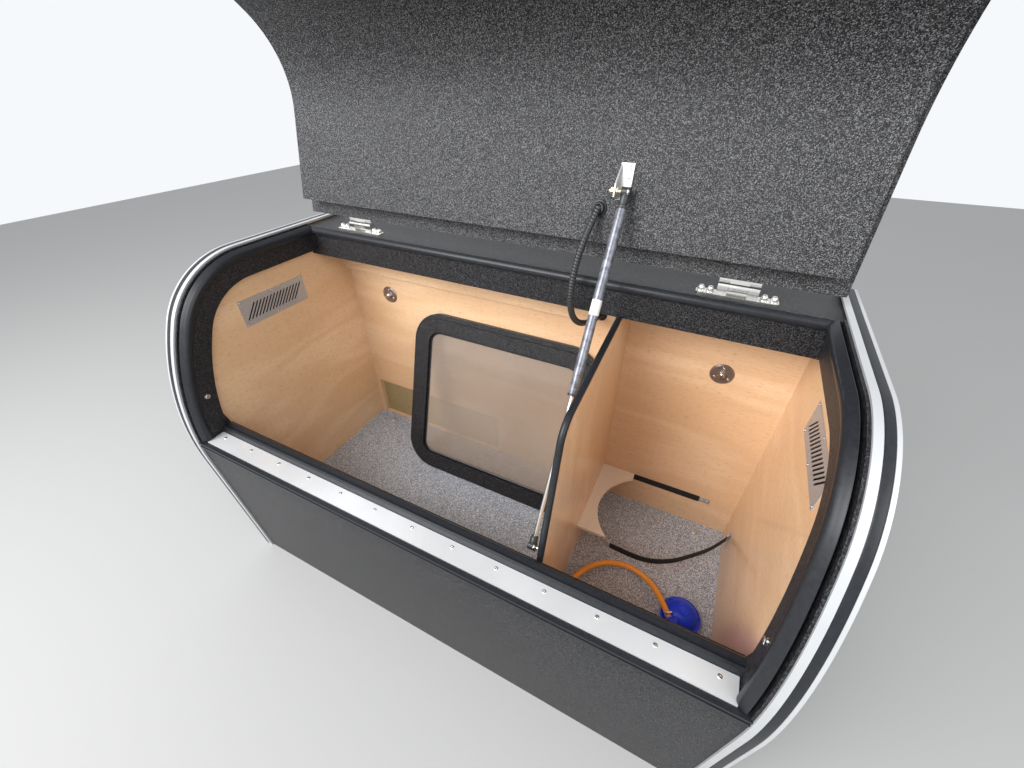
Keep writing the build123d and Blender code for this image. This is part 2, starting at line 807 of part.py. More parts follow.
report("cable", cable_radii, cable_line, cable_diameter, lid_cable)
write(lid_cable, "lid_cable")

with BuildPart() as lid_grommet:
    with BuildSketch(Plane(origin=cable_lid_end, x_dir=(1, 0, 0), z_dir=lid_side_view.y_dir)):
        Circle(grommet_radius)
    extrude(amount=lid_grommet_height)
    add(lid_cable.part, mode=Mode.SUBTRACT)
write(lid_grommet, "lid_grommet")

with BuildPart() as wall_grommet:
    with BuildSketch(facing_front(cleat_face)):
        with Locations((cable_wall_x, cable_wall_z)):
            Circle(grommet_radius)
    extrude(amount=grommet_height)
    add(lid_cable.part, mode=Mode.SUBTRACT)
write(wall_grommet, "wall_grommet")

# Gas strut: its ball stud sits on an angle bracket on the lid, its rod ends at a stud on the partition
strut_x = 228.0
ball_from_pin = 138.0
ball_below_pin = 67.0
ball_radius = 5.0
ball_clearance = 0.05
socket_radius = 8.0
socket_stem = 6.0
tube_radius = 9.0
tube_wall = 1.2
tube_start = 26.0
tube_length = 345.0
gland_depth = 8.0
rod_radius = 4.0
rod_clearance = 0.05
eye_from_sill = 35.0
eye_z = 459.0
piston_depth = 12.0
top_ball = on_lid(strut_x).from_local_coords(Vector(pin_y - ball_from_pin, pin_z - ball_below_pin, 0))
eye = Vector(strut_x, beam_inner + eye_from_sill, eye_z)
strut_length = (eye - top_ball).length


def strut_at(distance):
    """A plane square to the strut, at a distance from the top ball towards the eye."""
    down = (eye - top_ball).normalized()
    return Plane(origin=top_ball + down * distance, x_dir=(1, 0, 0), z_dir=down)


with BuildPart() as strut_tube:
    with BuildSketch(strut_at(tube_start)):
        Circle(tube_radius)
    extrude(amount=tube_length)
    with BuildSketch(strut_at(tube_start + gland_depth)):
        Circle(tube_radius - tube_wall)
    extrude(amount=tube_length - 2 * gland_depth, mode=Mode.SUBTRACT)
    with BuildSketch(strut_at(tube_start + tube_length)):
        Circle(rod_radius + rod_clearance)
    extrude(amount=-2 * gland_depth, mode=Mode.SUBTRACT)
write(strut_tube, "strut_tube")

with BuildPart() as strut_rod:
    with BuildSketch(strut_at(tube_start + tube_length - gland_depth - piston_depth)):
        Circle(rod_radius)
    extrude(amount=strut_length - socket_radius - tube_start - tube_length + gland_depth + piston_depth)
    with BuildSketch(strut_at(tube_start + tube_length - gland_depth - piston_depth)):
        Circle(tube_radius - tube_wall - rod_clearance)
    extrude(amount=piston_depth - 1)
write(strut_rod, "strut_rod")

for label, distance, away in (("strut_socket_top", 0, 1), ("strut_socket_low", strut_length, -1)):
    stem_end = tube_start if away > 0 else 2 * socket_radius
    with BuildPart() as socket:
        with BuildSketch(Plane.YZ.offset(strut_x - socket_radius)):
            with Locations(tuple(strut_at(distance).origin)[1:]):
                Circle(socket_radius)
        extrude(amount=2 * socket_radius)
        with BuildSketch(strut_at(distance)):
            Circle(socket_stem)
        extrude(amount=away * stem_end)
        if away < 0:
            add(strut_rod.part, mode=Mode.SUBTRACT)
        else:
            with Locations(top_ball):
                Sphere(ball_radius + ball_clearance, mode=Mode.SUBTRACT)
            with BuildSketch(Plane.YZ.offset(strut_x - socket_radius)):
                with Locations(tuple(top_ball)[1:]):
                    Circle(ball_radius - 0.5)
            extrude(amount=socket_radius, mode=Mode.SUBTRACT)
    write(socket, label)

bracket_ear_x = 208.0
bracket_plate = 2.5
bracket_width = 24.0
with BuildPart() as strut_bracket:
    with BuildSketch(on_lid(bracket_ear_x)):
        with Locations((pin_y - ball_from_pin - 16, plug_face - bracket_plate / 2)):
            Rectangle(60, bracket_plate)
    extrude(amount=bracket_width)
    with BuildSketch(on_lid(bracket_ear_x)):
        ball_place = (pin_y - ball_from_pin, pin_z - ball_below_pin)
        with BuildLine():
            Polyline(
                (pin_y - ball_from_pin + 14, plug_face),
                (pin_y - ball_from_pin - 46, plug_face),
                (pin_y - ball_from_pin - 12, pin_z - ball_below_pin - 10),
                (pin_y - ball_from_pin + 10, pin_z - ball_below_pin - 10),
                (pin_y - ball_from_pin + 14, plug_face),
            )
        make_face()
    extrude(amount=bracket_plate)
    with BuildSketch(on_lid(bracket_ear_x - 9)):
        with Locations(ball_place):
            Circle(3)
    extrude(amount=strut_x - bracket_ear_x + 9)
    with BuildSketch(on_lid(bracket_ear_x - 7)):
        with Locations(ball_place):
            RegularPolygon(5.5, 6)
    extrude(amount=7)
    with Locations(top_ball):
        Sphere(ball_radius)
write(strut_bracket, "strut_bracket")

stud_gap = 0.3
with BuildPart() as strut_stud:
    with BuildSketch(across(partition_x)):
        with Locations((eye.Y, eye.Z)):
            Circle(9)
    extrude(amount=-3)
    with BuildSketch(across(partition_x)):
        with Locations((eye.Y, eye.Z)):
            Circle(4)
    extrude(amount=-(partition_x - strut_x - socket_radius - stud_gap))
write(strut_stud, "strut_stud")

# Strikers on the gutters' upstands, and the lid's two locks
striker_inset = 46.5
striker_z = 580.0
striker_radius = 6.0
striker_length = 7.0
with BuildPart() as strikers:
    for sign in (-1, 1):
        with BuildSketch(across(sign * upstand_x)):
            with Locations((bow_at(striker_inset, striker_z), striker_z)):
                Circle(striker_radius)
        extrude(amount=-sign * striker_length)
write(strikers, "strikers")

lock_x = 520.0
lock_z = 560.0
lock_width = 96.0
lock_height = 62.0
lock_corner = 14.0
lock_rise = 6.0
lock_sink = 1.5
grip_width = 70.0
grip_height = 26.0
grip_rise = 7.0
cylinder_radius = 9.0
cylinder_from_middle = 16.0
lock_lift = asin((lock_z - bow_z) / bow_radius)
with BuildPart() as lid_locks:
    for x in (-lock_x, lock_x):
        view = on_lid(x)
        outward = view.y_dir * sin(lock_lift) - view.x_dir * cos(lock_lift)
        middle = view.from_local_coords(Vector(bow_at(0, lock_z), lock_z, 0))
        lock_face = Plane(origin=middle, x_dir=(1, 0, 0), z_dir=outward)
        with BuildSketch(lock_face.offset(-lock_sink)):
            RectangleRounded(lock_width, lock_height, lock_corner)
        extrude(amount=lock_sink + lock_rise)
        with BuildSketch(lock_face.offset(lock_rise)):
            with Locations((0, cylinder_from_middle)):
                SlotOverall(grip_width, grip_height)
        extrude(amount=grip_rise)
        with BuildSketch(lock_face.offset(lock_rise)):
            with Locations((0, -cylinder_from_middle)):
                Circle(cylinder_radius)
        extrude(amount=grip_rise / 2)
    add(lid_panel.part, mode=Mode.SUBTRACT)
write(lid_locks, "lid_locks")
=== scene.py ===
import json
from math import asin, atan2, cos, pi, radians, sin, tan, tau

import bmesh
import bpy
from mathutils import Matrix, Vector


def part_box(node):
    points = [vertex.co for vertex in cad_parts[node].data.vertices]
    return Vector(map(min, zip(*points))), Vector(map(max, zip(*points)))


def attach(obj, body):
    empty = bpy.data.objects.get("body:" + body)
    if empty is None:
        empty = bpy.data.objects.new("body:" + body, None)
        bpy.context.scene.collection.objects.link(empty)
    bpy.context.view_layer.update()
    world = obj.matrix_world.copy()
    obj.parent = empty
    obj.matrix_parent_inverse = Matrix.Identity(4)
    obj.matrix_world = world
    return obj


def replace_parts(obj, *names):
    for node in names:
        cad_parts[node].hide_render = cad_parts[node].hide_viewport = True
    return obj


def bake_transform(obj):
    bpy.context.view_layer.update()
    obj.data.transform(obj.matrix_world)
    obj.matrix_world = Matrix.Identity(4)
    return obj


# Front storage locker of a teardrop trailer. Its rigid pieces come in packed, in metres: X runs
# across the trailer, -Y is the direction of travel and Z is up. They ride on the bodies box, lid,
# strut_tube_body and strut_rod_body.
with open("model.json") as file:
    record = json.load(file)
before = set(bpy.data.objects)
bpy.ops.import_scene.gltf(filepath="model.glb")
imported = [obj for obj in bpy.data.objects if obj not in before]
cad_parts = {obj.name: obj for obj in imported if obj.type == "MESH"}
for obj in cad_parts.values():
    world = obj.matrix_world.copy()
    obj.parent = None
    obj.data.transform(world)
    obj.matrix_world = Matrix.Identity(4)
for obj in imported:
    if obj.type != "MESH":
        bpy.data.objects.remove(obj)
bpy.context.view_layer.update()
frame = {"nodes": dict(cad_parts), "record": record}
nodes = frame["nodes"]
scene = bpy.context.scene
scene.view_settings.view_transform = "Standard"

# The camera stands in front of the box and above it, right of its middle, and looks down and to the
# left through a wide lens.
camera_data = bpy.data.cameras.new("camera")
camera_data.sensor_width = 36.0
camera_data.lens = 14.761
camera = bpy.data.objects.new("camera", camera_data)
camera.location = (0.40366, -0.62302, 1.20028)
camera.rotation_euler = (radians(53.227), radians(0.194), radians(26.636))
scene.collection.objects.link(camera)
scene.camera = camera


class Shade:
    """A shader value that differs over a surface. Sums on it add the Math nodes that they need."""

    def __init__(self, tree, socket=None):
        self.tree = tree
        self.socket = socket

    def node(self, kind, settings=None, sockets=None, out=0):
        """Adds a node: first its settings, then the values or links of its sockets."""
        made = self.tree.nodes.new("ShaderNode" + kind)
        for name, setting in (settings or {}).items():
            setattr(made, name, setting)
        for key, value in (sockets or {}).items():
            if isinstance(value, Shade):
                self.tree.links.new(value.socket, made.inputs[key])
            else:
                made.inputs[key].default_value = value
        return Shade(self.tree, made.outputs[out] if made.outputs else None)

    def math(self, operation, *others):
        """What a Math node makes of this value and the others, in that order."""
        return self.node("Math", {"operation": operation}, dict(enumerate((self, *others))))

    def __add__(self, other):
        return self.math("ADD", other)

    __radd__ = __add__

    def __sub__(self, other):
        return self.math("SUBTRACT", other)

    def __rsub__(self, other):
        return self * -1.0 + other

    def __mul__(self, other):
        return self.math("MULTIPLY", other)

    __rmul__ = __mul__

    def __gt__(self, other):
        return self.math("GREATER_THAN", other)

    def __lt__(self, other):
        return self.math("LESS_THAN", other)

    def blend(self, low, high):
        """The colour that goes from low to high as this value goes from 0 to 1."""
        colours = [c if isinstance(c, Shade) else (*c, 1.0) for c in (low, high)]
        sockets = {0: self, 6: colours[0], 7: colours[1]}
        return self.node("Mix", {"data_type": "RGBA"}, sockets, out=2)

    def between(self, low, high):
        """This value spread so that it is 0 at low and 1 at high."""
        return self.node("MapRange", sockets={"Value": self, "From Min": low, "From Max": high})

    def scaled(self, x, y, z):
        """This place stretched along its axes."""
        return self.node("Mapping", sockets={"Vector": self, "Scale": (x, y, z)})

    def axis(self, letter):
        """This place's distance along the axis X, Y or Z."""
        return self.node("SeparateXYZ", sockets={"Vector": self}, out=letter)

    def noise(self, scale, detail=3.0, roughness=0.5):
        sockets = {"Vector": self, "Scale": scale, "Detail": detail, "Roughness": roughness}
        return self.node("TexNoise", sockets=sockets)

    def grains(self, scale, channel="Red"):
        """A random value for each grain, with so many grains a metre."""
        cells = self.node("TexVoronoi", sockets={"Vector": self, "Scale": scale}, out="Color")
        return cells.node("SeparateColor", sockets={"Color": cells}, out=channel)

    def bump(self, depth):
        """A normal for this height, as a share of a depth in metres."""
        return self.node("Bump", sockets={"Height": self, "Distance": depth})


def finish(name, look):
    """A material. From a place, its look gives the shader's sockets or a whole surface."""
    material = bpy.data.materials.new(name)
    material.use_nodes = True
    tree = material.node_tree
    tree.nodes.clear()
    place = Shade(tree).node("TexCoord", out="Object")
    made = look(place)
    surface = place.node("BsdfPrincipled", sockets=made) if isinstance(made, dict) else made
    place.node("OutputMaterial", sockets={"Surface": surface})
    return material


def coat(material, *names):
    """Gives rigid nodes of the frame their material."""
    for name in names:
        nodes[name].data.materials.clear()
        nodes[name].data.materials.append(material)


# Floor panel of wood with a speckled grey vinyl covering, on two bearers of painted steel. A domed
# bolt head of dull zinc holds it down in each rear corner.
def speckled_vinyl(place):
    speckles = 640.0
    tone = place.grains(speckles)
    hue = place.grains(speckles, "Green")
    print_grey = tone.between(0.05, 0.95).blend((0.13, 0.145, 0.17), (0.58, 0.62, 0.69))
    warm = (hue > 0.90).blend(print_grey, (0.24, 0.21, 0.20))
    pale = (hue < 0.12).blend(warm, (0.78, 0.82, 0.88))
    return {"Base Color": pale, "Roughness": 0.5, "Normal": place.noise(900.0, 2.0).bump(0.0002)}


coat(finish("speckled_vinyl", speckled_vinyl), "floor_panel")


def satin_black(place):
    worn = place.noise(30.0, 4.0)
    return {
        "Base Color": (0.03, 0.03, 0.033, 1.0),
        "Roughness": worn * 0.3 + 0.25,
        "Normal": worn.bump(0.0004),
    }


coat(finish("satin_black", satin_black), "bearer_front", "bearer_rear")


def dull_zinc(place):
    spangle = place.grains(300.0)
    tone = spangle.blend((0.40, 0.40, 0.395), (0.56, 0.56, 0.55))
    return {"Base Color": tone, "Metallic": 0.45, "Roughness": spangle * 0.15 + 0.35}


dull = finish("dull_zinc", dull_zinc)
turn_steps = 24
sharp_angle = radians(34)


def lofted(mesh, rings, looped=False):
    """Faces from ring to ring of points, closed by caps or, if looped, back to the first ring."""
    made = [[mesh.verts.new(point) for point in ring] for ring in rings]
    pairs = list(zip(made, made[1:]))
    if looped:
        pairs.append((made[-1], made[0]))
    else:
        mesh.faces.new(reversed(made[0]))
        mesh.faces.new(made[-1])
    for low, high in pairs:
        for step in range(len(low)):
            following = (step + 1) % len(low)
            mesh.faces.new((low[step], low[following], high[following], high[step]))


def turned(mesh, profile, place, facing, looped=False):
    """A piece turned to a profile of radius, height and perhaps an outline, stood on a place."""
    stand = Matrix.Translation(place) @ Vector(facing).to_track_quat("Z", "Y").to_matrix().to_4x4()
    rings = []
    for radius, height, *outline in profile:
        ring = []
        for step in range(turn_steps):
            angle = tau * step / turn_steps
            reach = radius * (outline[0](angle) if outline else 1.0)
            ring.append(stand @ Vector((reach * cos(angle), reach * sin(angle), height)))
        rings.append(ring)
    lofted(mesh, rings, looped)


def fitted(name, mesh, material, body):
    """A piece made of the finished mesh, on its body of the locker, if any."""
    bmesh.ops.recalc_face_normals(mesh, faces=mesh.faces)
    data = bpy.data.meshes.new(name)
    mesh.to_mesh(data)
    mesh.free()
    data.shade_smooth()
    data.set_sharp_from_angle(angle=sharp_angle)
    data.materials.append(material)
    piece = bpy.data.objects.new(name, data)
    scene.collection.objects.link(piece)
    if body:
        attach(piece, body)
    return piece


up, forward, back = (0, 0, 1), (0, -1, 0), (0, 1, 0)
dome_head = [
    (0.0105, 0.0), (0.0105, 0.0008), (0.0098, 0.0022), (0.0078, 0.0038), (0.0045, 0.0050),
    (0.0010, 0.0054),
]
bolt_x, bolt_y = 0.55, 0.256
floor_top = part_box("floor_panel")[1].z
floor_bolts = bmesh.new()
for x in (-bolt_x, bolt_x):
    turned(floor_bolts, dome_head, (x, bolt_y, floor_top), up)
fitted("floor_bolts", floor_bolts, dull, "box")


# Plywood with a clear lacquer lines the box: back wall, partition, front liner and the cleat under
# the rail, which three small screws hold. Short dark pores and faint wide figures follow the grain
# of its outer veneer.
def plywood(along):
    """The look of plywood whose grain runs along an axis, 0 for X, 1 for Y or 2 for Z."""

    def look(place):
        stretch = [1.0, 1.0, 1.0]
        stretch[along] = 0.07
        lengthwise = place.scaled(*stretch)
        stretch[along] = 0.25
        drift = place.scaled(*stretch).noise(6.0, 2.0)
        figure = (drift * 34.0).math("SINE") * 0.5 + 0.5
        pores = lengthwise.noise(800.0, 2.0, 0.6)
        fibres = lengthwise.noise(240.0, 4.0, 0.6)
        veneer = drift.between(0.3, 0.7).blend((0.75, 0.485, 0.275), (0.84, 0.595, 0.375))
        figured = (figure * 0.42).blend(veneer, (0.66, 0.39, 0.21))
        streaked = (fibres.between(0.42, 0.72) * 0.38).blend(figured, (0.66, 0.41, 0.235))
        pored = (pores.between(0.59, 0.68) * 0.75).blend(streaked, (0.40, 0.22, 0.12))
        return {
            "Base Color": pored,
            "Roughness": fibres * 0.14 + 0.34,
            "Coat Weight": 0.6,
            "Coat Roughness": 0.14,
            "Normal": pores.bump(0.00005),
        }

    return look


coat(finish("plywood_across", plywood(0)), "back_wall", "cleat", "front_liner")
coat(finish("plywood_upright", plywood(2)), "partition")


def bright_plating(place):
    smear = place.noise(90.0)
    return {
        "Base Color": (0.72, 0.71, 0.68, 1.0),
        "Metallic": 1.0,
        "Roughness": smear * 0.2 + 0.12,
    }


bright = finish("bright_plating", bright_plating)
cross_arm_width = 0.28


def cross(angle):
    """How far a cross recess reaches at an angle, as a share of its arms' length."""
    end = 1.0 / max(abs(cos(angle)), abs(sin(angle)))
    flank = cross_arm_width / max(min(abs(cos(angle)), abs(sin(angle))), 0.001)
    return min(end, flank)


cross_head = [
    (0.0037, 0.0), (0.0037, 0.0005), (0.0030, 0.0010), (0.0022, 0.0011, cross),
    (0.0019, 0.0002, cross),
]
cleat_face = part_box("cleat")[0].y
cleat_screw_z = 0.753
cleat_screws = bmesh.new()
for x in (-0.28, 0.051, 0.208):
    turned(cleat_screws, cross_head, (x, cleat_face, cleat_screw_z), forward)
fitted("cleat_screws", cleat_screws, bright, "box")


# Hatch in the back wall: a plain flat panel in a satin olive drab, which lies in a recess of the
# plywood.
def olive_panel(place):
    mottle = place.noise(60.0, 5.0)
    olive = mottle.blend((0.29, 0.21, 0.10), (0.43, 0.33, 0.17))
    return {"Base Color": olive, "Roughness": 0.5, "Normal": mottle.bump(0.0002)}


coat(finish("olive_panel", olive_panel), "hatch_panel")


# Black skin with a hammered texture covers everything outside and round the opening: apron, hinge
# rail, gutters, sill beam, lid and window frame. Most of its fine beads are dark, and a few at
# random are painted pale as glints, a painted highlight. The open lid has a copy of the skin with
# paler painted glints, painted brighter because the lid catches more light.
def hammered(depth, pale, shine):
    """The look of hammered skin, by its beads' depth in metres, painted glint tone and shine."""
    grain = 850.0

    def look(place):
        beads = place.node("TexVoronoi", sockets={"Vector": place, "Scale": grain}, out="Distance")
        chance = place.grains(grain)
        height = place.noise(grain * 0.45, 2.0) - beads * 0.6
        return {
            # A few beads at random take the pale tone: painted glints, that is painted highlight.
            "Base Color": chance.math("POWER", 3.5).blend((0.003, 0.003, 0.004), pale),
            "Roughness": chance * 0.10 + 0.30,
            "Specular IOR Level": shine,
            "Normal": height.bump(depth),
        }

    return look


skin_look = hammered(0.0007, (0.085, 0.085, 0.09), 0.22)
hammered_skin = finish("hammered_skin", skin_look)
coat(hammered_skin, "apron", "gutter_left", "gutter_right", "sill_beam", "window_frame")
coat(hammered_skin, "hinge_rail")
# The lid's copy has paler painted glints: a lit copy of the skin, painted brighter.
lid_look_painted_lit = hammered(0.0008, (0.19, 0.19, 0.195), 0.30)
coat(finish("hammered_lid", lid_look_painted_lit), "lid_panel")


# Side walls: sandwich panels with plywood inside and hammered black skin outside, bonded into one.
# The finish changes just past each wall's inner face.
wall_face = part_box("floor_panel")[1].x
lining_depth = 0.001


def side_panel(place):
    outside = place.axis("X").math("ABSOLUTE") > wall_face + lining_depth
    inside = place.node("BsdfPrincipled", sockets=plywood(1)(place))
    skin = place.node("BsdfPrincipled", sockets=skin_look(place))
    return place.node("MixShader", sockets={0: outside, 1: inside, 2: skin})


coat(finish("side_panel", side_panel), "side_wall_left", "side_wall_right")


# Edge trims of satin anodised aluminium along the nose of both side walls. A dark rubber strip is
# pressed into the groove of each, over its screws.
def anodised(place):
    mottle = place.noise(14.0)
    pale = mottle.blend((0.46, 0.47, 0.48), (0.56, 0.57, 0.58))
    return {"Base Color": pale, "Metallic": 0.35, "Roughness": mottle * 0.15 + 0.36}


coat(finish("anodised", anodised), "side_trim_left", "side_trim_right")


def grey_rubber(place):
    dust = place.noise(160.0, 5.0)
    return {
        "Base Color": dust.blend((0.008, 0.009, 0.011), (0.022, 0.024, 0.029)),
        "Roughness": dust * 0.16 + 0.27,
        "Specular IOR Level": 0.30,
        "Normal": dust.bump(0.0001),
    }


rubber = finish("grey_rubber", grey_rubber)
coat(rubber, "sill_strip", "partition_edging", "sill_seal")

crown_radius = 0.220
crown_middle = Vector((-0.03692, 0.654))
crown_steps = 16
bow_radius = 0.654
bow_middle = Vector((0.344, 0.446))
bow_steps = 40
skirt_lean = radians(3.3)
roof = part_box("side_trim_left")[1].z


def toward(turn):
    """The direction of a turn, in the plane that it is drawn in."""
    return Vector((cos(turn), sin(turn)))


def nose_outline(rear, low, inset):
    """Places in side view along the nose, set in by an inset, from a rear plane to a height."""
    join = atan2(crown_middle.y - bow_middle.y, crown_middle.x - bow_middle.x)
    heel = bow_middle - toward(skirt_lean) * (bow_radius - inset)
    foot_turn = pi + skirt_lean
    if low > heel.y:
        foot_turn = pi - asin((low - bow_middle.y) / (bow_radius - inset))
    places = [Vector((rear, roof - inset))]
    for step in range(crown_steps + 1):
        turn = pi / 2 + (join - pi / 2) * step / crown_steps
        places.append(crown_middle + toward(turn) * (crown_radius - inset))
    for step in range(1, bow_steps + 1):
        turn = join + (foot_turn - join) * step / bow_steps
        places.append(bow_middle + toward(turn) * (bow_radius - inset))
    if low < heel.y:
        places.append(Vector((heel.x + (heel.y - low) * tan(skirt_lean), low)))
    return places


def along_nose(mesh, section, rear, low):
    """A strip along the nose, whose section pairs a station across the box with an inset."""
    lines = [
        [Vector((x, *place)) for place in nose_outline(rear(x), low, inset)]
        for x, inset in section
    ]
    lofted(mesh, list(zip(*lines)))


cover_section = [
    (0.0, 0.0016), (0.0, 0.0009), (0.0010, 0.0004), (0.0032, 0.0001), (0.0062, 0.0),
    (0.0092, 0.0001), (0.0114, 0.0004), (0.0124, 0.0009), (0.0124, 0.0016),
]
cover_gap = 0.00005
back_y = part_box("back_wall")[1].y
for side, sign in (("left", -1), ("right", 1)):
    insert_low, insert_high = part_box("trim_insert_" + side)
    first = (insert_low.x if sign > 0 else -insert_high.x) + cover_gap
    section = [(sign * (first + out), inset) for out, inset in cover_section]
    cover = bmesh.new()
    along_nose(cover, section, lambda x: back_y, 0.0)
    piece = fitted("screw_cover_" + side, cover, rubber, "box")
    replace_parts(piece, "trim_insert_" + side)

# Seals round the opening, of soft black rubber: a bulb with a lip on each gutter's upstand and on
# the rail's front edge, mitred where they meet, and one on the sill.
upstand_x = 0.602
bulb_foot = 0.475
rail_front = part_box("hinge_rail")[0].y
bulb_section = [
    (0.0070, 0.0280), (0.0070, 0.0072), (0.0066, 0.0062), (0.0058, 0.0060), (0.0036, 0.0074),
    (0.0012, 0.0090), (-0.0015, 0.0110), (-0.0042, 0.0126), (-0.0062, 0.0147), (-0.0073, 0.0174),
    (-0.0075, 0.0205), (-0.0072, 0.0235), (-0.0062, 0.0260), (-0.0045, 0.0275), (-0.0030, 0.0280),
    (0.0, 0.0280), (0.0, 0.0200), (0.0040, 0.0200), (0.0040, 0.0280),
]
for side, sign in (("left", -1), ("right", 1)):
    bulb = bmesh.new()
    section = [(sign * (upstand_x + out), inset) for out, inset in bulb_section]
    along_nose(bulb, section, lambda x: rail_front + min(abs(x) - upstand_x, 0.0), bulb_foot)
    piece = fitted("bulb_seal_" + side, bulb, rubber, "box")
    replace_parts(piece, "side_seal_" + side)

rail_bulb_section = [
    (0.0, 0.8649), (0.0022, 0.8634), (0.0044, 0.8614), (0.0062, 0.8593), (0.0073, 0.8566),
    (0.0075, 0.8535), (0.0072, 0.8505), (0.0062, 0.8482), (0.0045, 0.8471), (0.0, 0.8471),
]
rail_bulb = bmesh.new()
rail_ends = [
    [(sign * (upstand_x - out), rail_front - out, z) for out, z in rail_bulb_section]
    for sign in (-1, 1)
]
lofted(rail_bulb, rail_ends)
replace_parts(fitted("bulb_seal_rail", rail_bulb, rubber, "box"), "rail_seal")


# Tread plate of brushed aluminium on the sill. A row of countersunk cross-head screws holds it, one
# in the middle and six on each side of it.
def brushed_aluminium(place):
    lines = place.scaled(0.02, 1.0, 1.0).noise(2500.0, 2.0)
    return {
        "Base Color": place.noise(9.0).blend((0.64, 0.65, 0.66), (0.86, 0.87, 0.88)),
        "Metallic": 0.5,
        "Roughness": lines * 0.18 + 0.24,
        "Normal": lines.bump(0.00004),
    }


coat(finish("brushed_aluminium", brushed_aluminium), "sill_plate")

screw_pitch = 0.09525
screws_each_side = 6
screws_from_rear = 0.0125
plate_low, plate_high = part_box("sill_plate")
row_y = plate_high.y - screws_from_rear
tread_screws = bmesh.new()
for count in range(-screws_each_side, screws_each_side + 1):
    turned(tread_screws, cross_head, (count * screw_pitch, row_y, plate_high.z), up)
fitted("tread_screws", tread_screws, bright, "box")


# Vents of stamped stainless steel on both faces of both side walls, each held by six small screws.
# A dark insect screen stands between the faces.
def stamped_steel(place):
    mottle = place.noise(220.0)
    tone = mottle.blend((0.42, 0.42, 0.44), (0.54, 0.54, 0.56))
    return {"Base Color": tone, "Metallic": 0.6, "Roughness": mottle * 0.15 + 0.32}


steel = finish("stamped_steel", stamped_steel)
coat(steel, "vent_left", "vent_right")


def screen_weave(place):
    wires = place.node("TexWave", {"bands_direction": "Y"}, {"Vector": place, "Scale": 260.0})
    tone = wires.blend((0.004, 0.004, 0.004), (0.020, 0.019, 0.018))
    return {"Base Color": tone, "Roughness": 0.8}


def plate(mesh, low, high, bevel):
    """A flat plate between two corners, with its edges eased."""
    made = bmesh.ops.create_cube(mesh, size=1.0)["verts"]
    low, high = Vector(low), Vector(high)
    for vert in made:
        shift = [share * length for share, length in zip(vert.co, high - low)]
        vert.co = (low + high) / 2 + Vector(shift)
    edges = list(dict.fromkeys(edge for vert in made for edge in vert.link_edges))
    bmesh.ops.bevel(mesh, geom=edges, offset=bevel, segments=2, profile=0.5, affect="EDGES")


pan_head = [
    (0.0030, 0.0), (0.0030, 0.0006), (0.0025, 0.0012), (0.0018, 0.0014, cross),
    (0.0016, 0.0006, cross),
]
row_inset = 0.0055
row_spread = 0.0015
outer_set_in = 0.0010
screen_depth = 0.008
screen_thickness = 0.0008
screen_margin = 0.0105
screen_bevel = 0.0002
vent_screws = bmesh.new()
screens = bmesh.new()
for name, side in (("vent_left", -1), ("vent_right", 1)):
    low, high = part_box(name)
    inner, outer = (high.x, low.x) if side < 0 else (low.x, high.x)
    middle = (low.y + high.y) / 2
    for x, facing in ((inner, -side), (outer - side * outer_set_in, side)):
        for y in (low.y + row_inset, middle, high.y - row_inset):
            for z in (low.z + row_inset - row_spread, high.z - row_inset + row_spread):
                turned(vent_screws, pan_head, (x, y, z), (facing, 0, 0))
    near = inner + side * screen_depth
    far = near + side * screen_thickness
    plate(
        screens,
        (min(near, far), low.y + screen_margin, low.z + screen_margin),
        (max(near, far), high.y - screen_margin, high.z - screen_margin),
        screen_bevel,
    )
fitted("vent_screws", vent_screws, bright, "box")
fitted("insect_screens", screens, finish("screen_weave", screen_weave), "box")


# Two dished rosettes of bronzed steel on the back wall spread the load of the two bolts that hold
# the box. Each has three small screws of its own, and a bright nut on the bolt's end.
def bronzed_steel(place):
    tone = place.noise(300.0).blend((0.24, 0.185, 0.16), (0.36, 0.29, 0.25))
    return {"Base Color": tone, "Metallic": 0.75, "Roughness": 0.32}


coat(finish("bronzed_steel", bronzed_steel), "wall_rosettes")


def hexagon(angle):
    """How far a hexagon reaches at an angle, as a share of its corners' radius."""
    return cos(pi / 6) / cos(angle % (pi / 3) - pi / 6)


bolt_nut = [
    (0.0090, 0.0, hexagon), (0.0090, 0.0052, hexagon), (0.0080, 0.0060), (0.0050, 0.0060),
    (0.0050, 0.0085), (0.0040, 0.0095),
]
screw_circle = 0.0165
low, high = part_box("wall_rosettes")
rosette_radius = (high.z - low.z) / 2
rosette_z = (low.z + high.z) / 2
rosette_screws = bmesh.new()
cabin_bolts = bmesh.new()
for x in (low.x + rosette_radius, high.x - rosette_radius):
    turned(cabin_bolts, bolt_nut, (x, low.y, rosette_z), forward)
    for turn in (radians(90), radians(210), radians(330)):
        place = (x + screw_circle * cos(turn), low.y, rosette_z + screw_circle * sin(turn))
        turned(rosette_screws, pan_head, place, forward)
fitted("rosette_screws", rosette_screws, bright, "box")
fitted("cabin_bolts", cabin_bolts, bright, "box")

# Hinges of bright plated steel. Two domed cap nuts stand on each foot, and three dome-headed rivets
# hold each leaf to the lid, whose places are drawn shut and carried to the open lid.
coat(bright, "hinge_base_left", "hinge_base_right", "hinge_leaf_left", "hinge_leaf_right")
cap_nut = [
    (0.0078, 0.0), (0.0078, 0.0007), (0.0064, 0.0007, hexagon), (0.0064, 0.0046, hexagon),
    (0.0052, 0.0052), (0.0050, 0.0066), (0.0042, 0.0084), (0.0026, 0.0096), (0.0007, 0.0100),
]
rivet_head = [
    (0.0042, 0.0), (0.0042, 0.0004), (0.0036, 0.0013), (0.0022, 0.0020), (0.0006, 0.0022),
]
joints = {joint["name"]: joint for joint in frame["record"]["behaviour"]["joints"]}
pin = Vector(joints["lid_hinge"]["pos_m"])
opening = Matrix.Rotation(-radians(joints["lid_hinge"]["range_deg"][1]), 3, "X")


def lifted(x, y, z):
    """A place drawn on the shut lid, carried to the open lid."""
    return pin + opening @ (Vector((x, y, z)) - pin)


